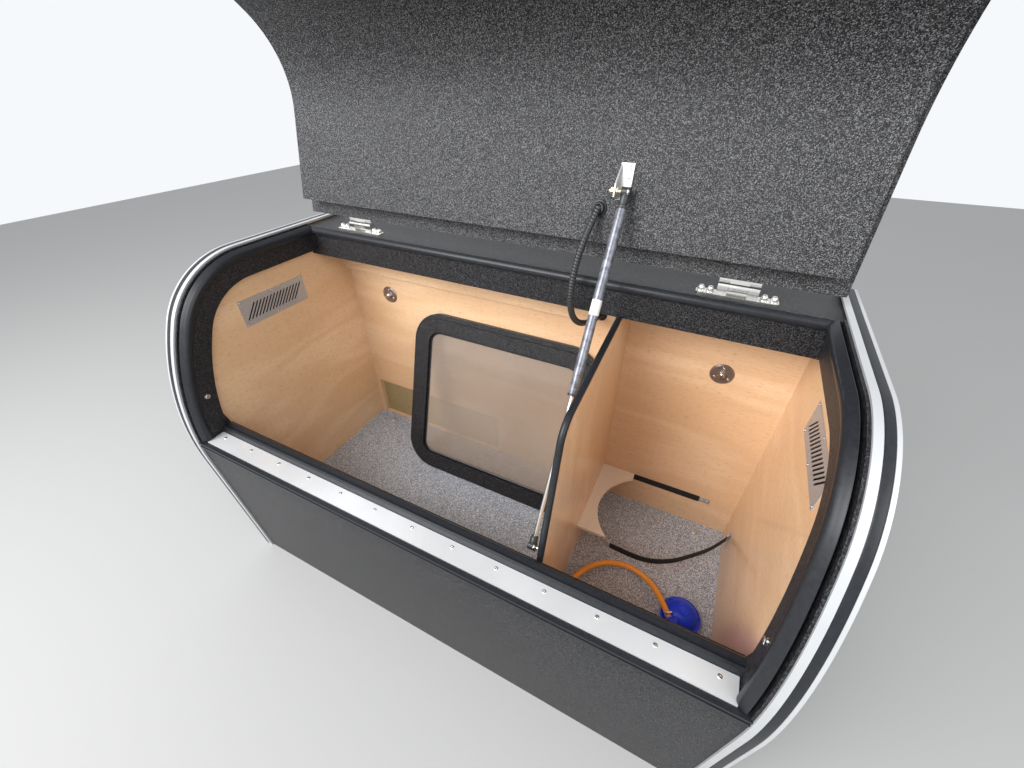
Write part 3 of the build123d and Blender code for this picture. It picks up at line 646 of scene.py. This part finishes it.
lid_outward = opening @ Vector(up)
foot_thickness = 0.0025
leaf_rise = 0.0035
nut_setback = 0.006
foot_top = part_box("hinge_rail")[1].z + foot_thickness
leaf_top = roof + leaf_rise
hinge_nuts = bmesh.new()
leaf_rivets = bmesh.new()
for name in ("hinge_base_left", "hinge_base_right"):
    low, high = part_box(name)
    middle = (low.x + high.x) / 2
    for out in (-0.0615, -0.0455, 0.0455, 0.0615):
        turned(hinge_nuts, cap_nut, (middle + out, pin.y - nut_setback, foot_top), up)
    for out, y in ((-0.024, 0.160), (0.0, 0.150), (0.024, 0.160)):
        turned(leaf_rivets, rivet_head, lifted(middle + out, y, leaf_top), lid_outward)
fitted("hinge_nuts", hinge_nuts, bright, "box")
fitted("leaf_rivets", leaf_rivets, bright, "lid")

# Striker studs on the gutters, turned from bright steel. Each has a foot, a waist that the lid's
# lock grips, and a head with a chamfer.
stud = [
    (0.0060, 0.0), (0.0060, 0.0014), (0.0040, 0.0018), (0.0036, 0.0036), (0.0042, 0.0042),
    (0.0060, 0.0046), (0.0060, 0.0060), (0.0050, 0.0070),
]
low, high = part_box("strikers")
striker_y, striker_z = (low.y + high.y) / 2, (low.z + high.z) / 2
striker_studs = bmesh.new()
for x, side in ((low.x, -1), (high.x, 1)):
    turned(striker_studs, stud, (x, striker_y, striker_z), (-side, 0, 0))
studs = fitted("striker_studs", striker_studs, bright, "box")
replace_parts(studs, "strikers")


# The window stored in the box: a clear acrylic pane, dusty by now, with a rubber glazing bead in a
# hammered frame. One small screw holds it at the left.
def hazy_acrylic(place):
    dust = place.noise(500.0)
    cloud = place.noise(6.0, 2.0)
    return {
        "Base Color": (0.35, 0.285, 0.235, 1.0),
        "Roughness": 0.12,
        "Alpha": cloud * 0.45 + dust.between(0.60, 0.72) * 0.25 + 0.22,
        "Coat Weight": 0.6,
    }


coat(finish("hazy_acrylic", hazy_acrylic), "window_pane")

window_height = 0.520
window_border = 0.054
window_corner = 0.090
pane_depth = 0.009
lean = radians(17.206)
low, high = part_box("window_frame")
window_foot = Vector(((low.x + high.x) / 2, low.y, high.z - window_height * cos(lean)))
window_up = Vector((0, sin(lean), cos(lean)))
window_out = Vector((0, -cos(lean), sin(lean)))


def on_window(x, along, out):
    """A place on the leaning window, from the middle of its foot."""
    return window_foot + Vector((x, 0, 0)) + window_up * along + window_out * out


bead_radius = 0.0032
bead_sides = 10
bead_corner = window_corner - window_border
corner_steps = 10
half_width = (high.x - low.x) / 2 - window_border
half_height = window_height / 2 - window_border
bead_rings = []
for quarter, (across, along) in enumerate(((1, 1), (-1, 1), (-1, -1), (1, -1))):
    for step in range(corner_steps + 1):
        outward = toward(pi / 2 * (quarter + step / corner_steps))
        x = across * (half_width - bead_corner) + outward.x * (bead_corner - bead_radius)
        y = along * (half_height - bead_corner) + outward.y * (bead_corner - bead_radius)
        ring = []
        for side in range(bead_sides):
            turn = tau * side / bead_sides
            away = bead_radius * cos(turn)
            rise = bead_radius * sin(turn) - pane_depth + bead_radius
            middle_y = window_height / 2 + y
            ring.append(on_window(x + outward.x * away, middle_y + outward.y * away, rise))
        bead_rings.append(ring)
bead = bmesh.new()
lofted(bead, bead_rings, looped=True)
fitted("glazing_bead", bead, rubber, "box")

screw_across, screw_along = -0.266, 0.185
window_screw = bmesh.new()
turned(window_screw, pan_head, on_window(screw_across, screw_along, 0.0), window_out)
fitted("window_screw", window_screw, bright, "box")


# Bottle bracket of bare plywood, which holds the gas bottle in its cut-out. Its plies show as lines
# along its edge.
def bare_plywood(place):
    fibres = place.scaled(1.0, 0.1, 1.0).noise(200.0, 4.0)
    tone = fibres.blend((0.86, 0.75, 0.62), (0.95, 0.87, 0.76))
    plies = (place.axis("Z") * 2600.0).math("SINE").between(0.1, 0.6)
    return {"Base Color": (plies * 0.3).blend(tone, (0.58, 0.40, 0.25)), "Roughness": 0.65}


coat(finish("bare_plywood", bare_plywood), "bottle_bracket")


# Straps of black polyester webbing hold the gas bottle to its bracket. The rear one lies on the
# back wall and the front one crosses the compartment. Their ends are clamped in folded plate and
# riveted, and a perforated plate is screwed to the right wall.
def woven_black(place):
    across, upright = place.axis("X"), place.axis("Z")
    warp = (upright * 3140.0).math("SINE")
    weft = ((across + upright) * 2400.0).math("SINE")
    weave = warp * 0.5 + weft * 0.5
    tone = weave.between(-0.6, 0.8).blend((0.004, 0.004, 0.0045), (0.016, 0.016, 0.018))
    return {"Base Color": tone, "Roughness": 0.62, "Normal": weave.bump(0.0002)}


webbing = finish("woven_black", woven_black)
coat(webbing, "strap_rear")


def smooth_curve(name, route):
    """A smooth curve that has the route's points as its control points."""
    data = bpy.data.curves.new(name, "CURVE")
    data.dimensions = "3D"
    data.resolution_u = 24
    spline = data.splines.new("NURBS")
    spline.points.add(len(route) - 1)
    for point, place in zip(spline.points, route):
        point.co = (*place, 1.0)
    spline.order_u = 3
    spline.use_endpoint_u = True
    return bpy.data.objects.new(name, data)


def cord_line(name, route, pitch):
    """Points at an even pitch along the smooth curve of a route."""
    guide = smooth_curve(name, route)
    line = bpy.data.meshes.new_from_object(guide)
    dense = [vert.co.copy() for vert in line.vertices]
    bpy.data.curves.remove(guide.data)
    bpy.data.meshes.remove(line)
    runs = [(after - before).length for before, after in zip(dense, dense[1:])]
    count = round(sum(runs) / pitch)
    even = sum(runs) / count
    points = [dense[0]]
    walked = 0.0
    for before, after, run in zip(dense, dense[1:], runs):
        while len(points) < count and walked + run >= len(points) * even:
            points.append(before.lerp(after, (len(points) * even - walked) / run))
        walked += run
    return [*points, dense[-1]]


def swept(mesh, points, section, side):
    """A section carried along points without twisting, in pairs along side and square to it."""
    rings = []
    side = Vector(side)
    for count, point in enumerate(points):
        ahead = points[min(count + 1, len(points) - 1)] - points[max(count - 1, 0)]
        heading = ahead.normalized()
        side = (side - heading * side.dot(heading)).normalized()
        square_to = heading.cross(side)
        rings.append([point + side * along + square_to * away for along, away in section(count)])
    lofted(mesh, rings)


def slab(half_height, half_thickness, rim):
    """The section of a flat strip with eased edges and a raised rim along both of them."""
    quarter = [
        (half_height, half_thickness * 0.5),
        (half_height - rim * 0.25, half_thickness),
        (half_height - rim * 0.8, half_thickness),
        (half_height - rim, half_thickness * 0.75),
    ]
    face = quarter + [(-along, away) for along, away in reversed(quarter)]
    return face + [(-along, -away) for along, away in face]


strap_width = 0.020
strap_thickness = 0.002
strap_rim = 0.0025
strap_pitch = 0.004
strap_route = [
    (0.336, 0.044, 0.216),
    (0.402, 0.038, 0.216),
    (0.452, 0.044, 0.216),
    (0.500, 0.068, 0.216),
    (0.544, 0.108, 0.216),
    (0.590, 0.154, 0.216),
    (0.622, 0.206, 0.216),
]
strap_section = slab(strap_width / 2, strap_thickness / 2, strap_rim)
strap_points = cord_line("strap_line", strap_route, strap_pitch)
strap_mesh = bmesh.new()
swept(strap_mesh, strap_points, lambda count: strap_section, up)
strap = fitted("bottle_strap", strap_mesh, webbing, "box")
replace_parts(strap, "strap_front")

clamped_points = 4
clamp_overlap = 0.0008
clamp_thickness = 0.0010
clamp_section = slab(
    strap_width / 2 + clamp_overlap, strap_thickness / 2 + clamp_thickness, clamp_thickness
)
clips = bmesh.new()
for end in (strap_points[:clamped_points], strap_points[-clamped_points:]):
    swept(clips, end, lambda count: clamp_section, up)
clip_length = 0.028
clip_height = 0.016
clip_thickness = 0.002
clip_bevel = 0.0006
rivet_share = 0.27
for x, y, z in ((0.548, 0.290, 0.227), (0.336, 0.047, 0.226)):
    half = Vector((clip_length / 2, 0, clip_height / 2))
    middle = Vector((x, y, z))
    plate(clips, middle - half - Vector((0, clip_thickness, 0)), middle + half, clip_bevel)
    for share in (-rivet_share, rivet_share):
        turned(clips, rivet_head, (x + clip_length * share, y - clip_thickness, z), forward)


def square(angle):
    """How far a square reaches at an angle, as a share of half its side."""
    return 1.0 / max(abs(cos(angle)), abs(sin(angle)))


most_corners = 4096.0


def corner_order(face):
    """A number that differs from face to face, made of the numbers of its corners."""
    corners = sorted(vert.index for vert in face.verts)
    return sum(corner * most_corners**place for place, corner in enumerate(corners))


hole_pitch = 0.015
hole_radius = 0.0043
holes = 4
perforated_thickness = 0.002
perforated_y = 0.206
perforated_z = 0.1815
perforated = [
    (hole_pitch / 2, 0.0, square), (hole_pitch / 2, perforated_thickness, square),
    (hole_radius, perforated_thickness), (hole_radius, 0.0),
]
for hole in range(holes):
    place = (wall_face, perforated_y, perforated_z + hole * hole_pitch)
    turned(clips, perforated, place, (-1, 0, 0), looped=True)
# The squares round the holes are joined up, and the walls where two of them meet come out. The
# joining leaves the faces in a chance order, so they are sorted.
bmesh.ops.remove_doubles(clips, verts=clips.verts, dist=0.00001)
walls = [
    face for face in clips.faces if sum(len(edge.link_faces) > 2 for edge in face.edges) > 1
]
bmesh.ops.delete(clips, geom=walls, context="FACES")
clips.verts.index_update()
clips.faces.sort(key=corner_order)
screw_place = (wall_face - perforated_thickness, perforated_y, perforated_z)
turned(clips, pan_head, screw_place, (-1, 0, 0))
strap_ends = fitted("strap_ends", clips, steel, "box")
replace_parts(strap_ends, "strap_clips")


# Gas hose of orange rubber. It comes in through a hexagonal cable gland in the front liner, bends
# round over the floor and ends under a hose clamp on the regulator.
def orange_rubber(place):
    bloom = place.noise(120.0)
    return {"Base Color": bloom.blend((0.88, 0.30, 0.030), (0.95, 0.40, 0.065)), "Roughness": 0.38}


hose_route = [
    (0.285, -0.2483, 0.190),
    (0.278, -0.160, 0.188),
    (0.282, -0.066, 0.174),
    (0.326, 0.024, 0.148),
    (0.396, 0.062, 0.136),
    (0.458, 0.046, 0.139),
    (0.500, 0.004, 0.150),
    (0.526, -0.040, 0.155),
]
hose_radius = 0.007
hose = smooth_curve("orange_hose", hose_route)
hose.data.bevel_depth = hose_radius
hose.data.bevel_resolution = 6
hose.data.use_fill_caps = True
hose.data.materials.append(finish("orange_rubber", orange_rubber))
scene.collection.objects.link(hose)
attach(hose, "box")
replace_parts(hose, "gas_hose")


def black_plastic(place):
    dust = place.noise(300.0, 4.0)
    tone = dust.blend((0.014, 0.015, 0.016), (0.035, 0.037, 0.04))
    return {"Base Color": tone, "Roughness": 0.42, "Normal": dust.bump(0.00005)}


plastic = finish("black_plastic", black_plastic)
gland_place = (0.285, -0.2663, 0.190)
gland_clearance = 0.0001
gland_bore = hose_radius + gland_clearance
gland_profile = [
    (gland_bore, 0.0), (0.0129, 0.0), (0.0129, 0.0025), (0.0124, 0.0032),
    (0.0126, 0.0034, hexagon), (0.0126, 0.0095, hexagon), (0.0100, 0.0100), (0.0108, 0.0106),
    (0.0108, 0.0150), (0.0098, 0.0172), (gland_bore, 0.0178),
]
gland = bmesh.new()
turned(gland, gland_profile, gland_place, back, looped=True)
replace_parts(fitted("cable_gland", gland, plastic, "box"), "hose_gland")

clamp_from_end = 0.009
worm_rise = 0.0105
clamp_band = [
    (0.0074, -0.0045), (0.0082, -0.0045), (0.0084, -0.0035), (0.0084, 0.0035), (0.0082, 0.0045),
    (0.0074, 0.0045),
]
worm_screw = [
    (0.0034, -0.0065), (0.0034, 0.0040), (0.0030, 0.0046), (0.0038, 0.0048, hexagon),
    (0.0038, 0.0084, hexagon), (0.0026, 0.0090), (0.0020, 0.0090, cross), (0.0018, 0.0078, cross),
]
hose_end = Vector(hose_route[-1])
hose_heading = (hose_end - Vector(hose_route[-2])).normalized()
clamp_middle = hose_end - hose_heading * clamp_from_end
worm_across = hose_heading.cross(Vector(up)).normalized()
clamp = bmesh.new()
turned(clamp, clamp_band, clamp_middle, hose_heading, looped=True)
turned(clamp, worm_screw, clamp_middle + Vector(up) * worm_rise, worm_across)
hose_clamp = fitted("hose_clamp", clamp, bright, "box")


# Regulator of glossy blue enamel, a domed housing on a flange, that lies on the floor at the hose's
# end. Six hexagon screws join its two halves and a slotted plug closes the top.
def blue_enamel(place):
    cloud = place.noise(60.0)
    ripple = place.noise(220.0, 2.0)
    tone = cloud.blend((0.003, 0.035, 0.62), (0.005, 0.055, 0.82))
    return {"Base Color": tone, "Roughness": ripple * 0.12 + 0.28, "Normal": ripple.bump(0.0004)}


blue = finish("blue_enamel", blue_enamel)
coat(blue, "regulator")
low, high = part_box("regulator")
disc_radius = 0.046
dome_middle = Vector((high.x - disc_radius, high.y - disc_radius, 0))
flange_rise = 0.014
flange_top = low.z + flange_rise
flange_circle = 0.0422
first_screw_turn = 15
screw_head = [
    (0.0036, 0.0, hexagon), (0.0036, 0.0024, hexagon), (0.0030, 0.0030), (0.0012, 0.0031),
]
flange_screws = bmesh.new()
for count in range(6):
    out = Vector((*toward(radians(60 * count + first_screw_turn)), 0)) * flange_circle
    turned(flange_screws, screw_head, dome_middle + out + Vector(up) * flange_top, up)
regulator_screws = fitted("regulator_screws", flange_screws, blue, "box")

slot_width = 0.16


def slotted(angle):
    """How far a screwdriver's slot reaches at an angle, as a share of half its length."""
    return 1.0 / max(abs(cos(angle)), abs(sin(angle)) / slot_width)


plug_drop = 0.0028
plug_profile = [
    (0.0150, -0.0020), (0.0150, 0.0012), (0.0138, 0.0026), (0.0110, 0.0026), (0.0100, 0.0006),
    (0.0092, 0.0026), (0.0066, 0.0028, slotted), (0.0062, 0.0008, slotted),
]
plug = bmesh.new()
turned(plug, plug_profile, dome_middle + Vector(up) * (high.z - plug_drop), up)
regulator_plug = fitted("regulator_plug", plug, blue, "box")


# Two push-in locks of black plastic in the lid's outer face. Each has the bright face of its key
# cylinder in the middle, drawn on the shut lid.
coat(plastic, "lid_locks")
key_face = [
    (0.0076, 0.0), (0.0076, 0.0014), (0.0070, 0.0020), (0.0052, 0.0020), (0.0050, 0.0013),
    (0.0042, 0.0014), (0.0034, 0.0014, slotted), (0.0032, -0.0004, slotted),
]
lock_x = 0.52
lock_rise = 0.0095
lock_drop = 0.016
lock_lift = radians(10.04)
lock_outward = Vector((0, -cos(lock_lift), sin(lock_lift)))
lock_upward = Vector((0, sin(lock_lift), cos(lock_lift)))
nose_face = Vector((0, *bow_middle)) + lock_outward * (bow_radius + lock_rise)
shut = nose_face - lock_upward * lock_drop
key_faces = bmesh.new()
for x in (-lock_x, lock_x):
    turned(key_faces, key_face, lifted(x, shut.y, shut.z), opening @ lock_outward)
fitted("key_faces", key_faces, bright, "lid")

# The lid's cable runs in a spirally ribbed sleeve from a rubber grommet in the lid to one in the
# cleat. It hangs in a slack curve.
cable_route = [
    (0.190, 0.265, 0.736),
    (0.178, 0.220, 0.738),
    (0.168, 0.176, 0.753),
    (0.162, 0.142, 0.781),
    (0.158, 0.126, 0.818),
    (0.158, 0.125, 0.860),
    (0.162, 0.130, 0.904),
    (0.170, 0.138, 0.946),
    (0.178, 0.152, 0.978),
    (0.181, 0.17117, 0.99741),
]
cable_pitch = 0.001
cable_points = cord_line("cable_line", cable_route, cable_pitch)
cable_sides = 14
sleeve_radius = 0.0063
sleeve_start = 0.070
sleeve_run_in = 0.010
rib_rise = 0.0006
rib_pitch = 0.0062


def sleeve_section(count):
    """The cable's round section, which the sleeve's spiral rib pushes out on one side."""
    ribbed = min(max((count * cable_pitch - sleeve_start) / sleeve_run_in, 0.0), 1.0)
    turns = [tau * side / cable_sides for side in range(cable_sides)]
    phase = tau * count * cable_pitch / rib_pitch
    reach = [sleeve_radius + ribbed * rib_rise * sin(phase + turn) for turn in turns]
    return [(radius * cos(turn), radius * sin(turn)) for radius, turn in zip(reach, turns)]


cable_mesh = bmesh.new()
swept(cable_mesh, cable_points, sleeve_section, (1, 0, 0))
cable = fitted("ribbed_cable", cable_mesh, plastic, None)
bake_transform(cable)
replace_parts(cable, "lid_cable")


def grommet_profile(height):
    """A rubber grommet's profile, round a cable, that stands a height out of its hole."""
    bore = 0.0071
    return [
        (bore, 0.0), (0.0148, 0.0), (0.0148, height * 0.20), (0.0140, height * 0.34),
        (0.0116, height * 0.40), (0.0106, height * 0.80), (0.0094, height), (bore, height),
    ]


lid_depth = 0.045
lid_plug_face = roof - lid_depth
lid_hole_from_pin = 0.107
lid_hole = lifted(cable_route[-1][0], pin.y - lid_hole_from_pin, lid_plug_face)
lid_grommet = bmesh.new()
turned(lid_grommet, grommet_profile(0.008), lid_hole, -lid_outward, looped=True)
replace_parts(fitted("grommet_in_lid", lid_grommet, rubber, "lid"), "lid_grommet")
cleat_hole = (cable_route[0][0], cleat_face, cable_route[0][2])
wall_grommet = bmesh.new()
turned(wall_grommet, grommet_profile(0.005), cleat_hole, forward, looped=True)
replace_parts(fitted("grommet_in_cleat", wall_grommet, rubber, "box"), "wall_grommet")


# Gas strut: a bright rod in a tube of smooth grey enamel with a plain paper band. Its moulded
# sockets snap over a ball stud on the lid's bracket and over a stud on the partition. Nuts of
# yellow zinc plate hold both studs.
def strut_paint(place):
    blotches = place.noise(70.0, 4.0)
    tone = blotches.between(0.35, 0.65).blend((0.085, 0.09, 0.11), (0.20, 0.205, 0.235))
    return {"Base Color": tone, "Roughness": blotches * 0.15 + 0.20, "Metallic": 0.30}


coat(finish("strut_paint", strut_paint), "strut_tube")
coat(bright, "strut_rod", "strut_stud")
coat(dull, "strut_bracket")
coat(plastic, "strut_socket_top", "strut_socket_low")

socket_radius = 0.008
ball = Vector(joints["strut_swing"]["pos_m"])
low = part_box("strut_socket_low")[0]
eye = Vector((ball.x, low.y + socket_radius, low.z + socket_radius))
strut_down = (eye - ball).normalized()

socket_neck = [
    (0.0064, 0.0075), (0.0078, 0.0085), (0.0078, 0.0190), (0.0070, 0.0205), (0.0070, 0.0225),
    (0.0060, 0.0240),
]
low_neck_share = 0.9
low_neck_profile = [(radius, height * low_neck_share) for radius, height in socket_neck]
top_neck = bmesh.new()
turned(top_neck, socket_neck, ball, strut_down)
fitted("socket_neck_top", top_neck, plastic, "strut_tube_body")
low_neck = bmesh.new()
turned(low_neck, low_neck_profile, eye, -strut_down)
fitted("socket_neck_low", low_neck, plastic, "strut_rod_body")

clip_out = 0.0045
spring_clip = [(0.0080, -0.0011), (0.0087, -0.0008), (0.0087, 0.0008), (0.0080, 0.0011)]
for name, middle, body in (("top", ball, "strut_tube_body"), ("low", eye, "strut_rod_body")):
    clip = bmesh.new()
    turned(clip, spring_clip, middle + Vector((clip_out, 0, 0)), (1, 0, 0), looped=True)
    fitted("spring_clip_" + name, clip, bright, body)

tube_start = 0.026
tube_length = 0.345
tube_radius = 0.009
crimp_rise = 0.0006
crimp_from_end = 0.0025
crimp = [
    (tube_radius, -0.0020), (tube_radius + crimp_rise, -0.0014),
    (tube_radius + crimp_rise, 0.0014), (tube_radius, 0.0020),
]
crimps = bmesh.new()
for distance in (tube_start + crimp_from_end, tube_start + tube_length - crimp_from_end):
    turned(crimps, crimp, ball + strut_down * distance, strut_down, looped=True)
fitted("tube_crimps", crimps, plastic, "strut_tube_body")


def label_paper(place):
    smudge = place.noise(40.0, 4.0)
    return {"Base Color": smudge.blend((0.62, 0.62, 0.62), (0.80, 0.80, 0.79)), "Roughness": 0.45}


label_half = 0.014
label_thickness = 0.0002
label_radius = tube_radius + label_thickness
label_from_ball = 0.205
label_profile = [
    (tube_radius, -label_half), (label_radius, -label_half), (label_radius, label_half),
    (tube_radius, label_half),
]
label = bmesh.new()
turned(label, label_profile, ball + strut_down * label_from_ball, strut_down, looped=True)
paper = finish("label_paper", label_paper)
fitted("blank_label", label, paper, "strut_tube_body")


def yellow_zinc(place):
    tarnish = place.noise(400.0)
    tone = tarnish.blend((0.58, 0.47, 0.26), (0.82, 0.74, 0.50))
    return {"Base Color": tone, "Metallic": 0.9, "Roughness": tarnish * 0.2 + 0.2}


zinc = finish("yellow_zinc", yellow_zinc)
stud_nut = [
    (0.0062, 0.0), (0.0066, 0.0004, hexagon), (0.0066, 0.0056, hexagon), (0.0056, 0.0062),
    (0.0034, 0.0062), (0.0034, 0.0096), (0.0028, 0.0102),
]
stud_collar = [
    (0.0066, 0.0, hexagon), (0.0066, 0.0036, hexagon), (0.0056, 0.0041), (0.0040, 0.0041),
    (0.0036, 0.0090),
]
ear_low, ear_high = 0.208, 0.2105
ball_nuts = bmesh.new()
turned(ball_nuts, stud_nut, (ear_low, ball.y, ball.z), (-1, 0, 0))
turned(ball_nuts, stud_collar, (ear_high, ball.y, ball.z), (1, 0, 0))
fitted("ball_stud_nuts", ball_nuts, zinc, "lid")
foot_plate = 0.003
foot_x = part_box("strut_stud")[1].x - foot_plate
eye_nut = bmesh.new()
turned(eye_nut, stud_collar, (foot_x, eye.y, eye.z), (-1, 0, 0))
fitted("eye_stud_nut", eye_nut, zinc, "box")

bracket_x = 0.2255
bracket_thickness = 0.0025
bracket_face = lid_plug_face - bracket_thickness
bracket_screws = bmesh.new()
for from_pin in (0.176, 0.162):
    place = lifted(bracket_x, pin.y - from_pin, bracket_face)
    turned(bracket_screws, pan_head, place, -lid_outward)
fitted("bracket_screws", bracket_screws, bright, "lid")


# The studio: a plain grey floor that takes the locker's shadow, an even sky and two large lamps.
# Gloss and glass see the same pale sky as the camera does.
def pale_floor(place):
    return {"Base Color": (0.36, 0.36, 0.355, 1.0), "Roughness": 0.9}


floor_reach = 6.0
corners = [
    (-floor_reach, -floor_reach, 0),
    (floor_reach, -floor_reach, 0),
    (floor_reach, floor_reach, 0),
    (-floor_reach, floor_reach, 0),
]
floor_data = bpy.data.meshes.new("studio_floor")
floor_data.from_pydata(corners, [], [(0, 1, 2, 3)])
studio_floor = bpy.data.objects.new("studio_floor", floor_data)
scene.collection.objects.link(studio_floor)
floor_data.materials.append(finish("studio_floor", pale_floor))

world = bpy.data.worlds.new("sky")
world.use_nodes = True
world.node_tree.nodes.clear()
sky = Shade(world.node_tree)
seen = sky.node("LightPath", out="Is Camera Ray")
glossy = sky.node("LightPath", out="Is Glossy Ray")
through = sky.node("LightPath", out="Is Transmission Ray")
strength = seen.math("MAXIMUM", glossy).math("MAXIMUM", through) * 0.05 + 0.92
lit = sky.node("Background", sockets={"Color": (0.95, 0.97, 1.0, 1.0), "Strength": strength})
sky.node("OutputWorld", sockets={"Surface": lit})
scene.world = world

for name, place, target, width, power in (
    ("key_lamp", (-1.2, -2.3, 2.6), (0.1, 0.1, 0.4), 2.2, 180.0),
    ("fill_lamp", (2.2, -1.4, 2.2), (0.2, 0.1, 0.4), 1.8, 30.0),
):
    lamp_data = bpy.data.lights.new(name, "AREA")
    lamp_data.size = width
    lamp_data.energy = power
    lamp = bpy.data.objects.new(name, lamp_data)
    lamp.location = place
    lamp.rotation_euler = (Vector(target) - Vector(place)).to_track_quat("-Z", "Y").to_euler()
    scene.collection.objects.link(lamp)
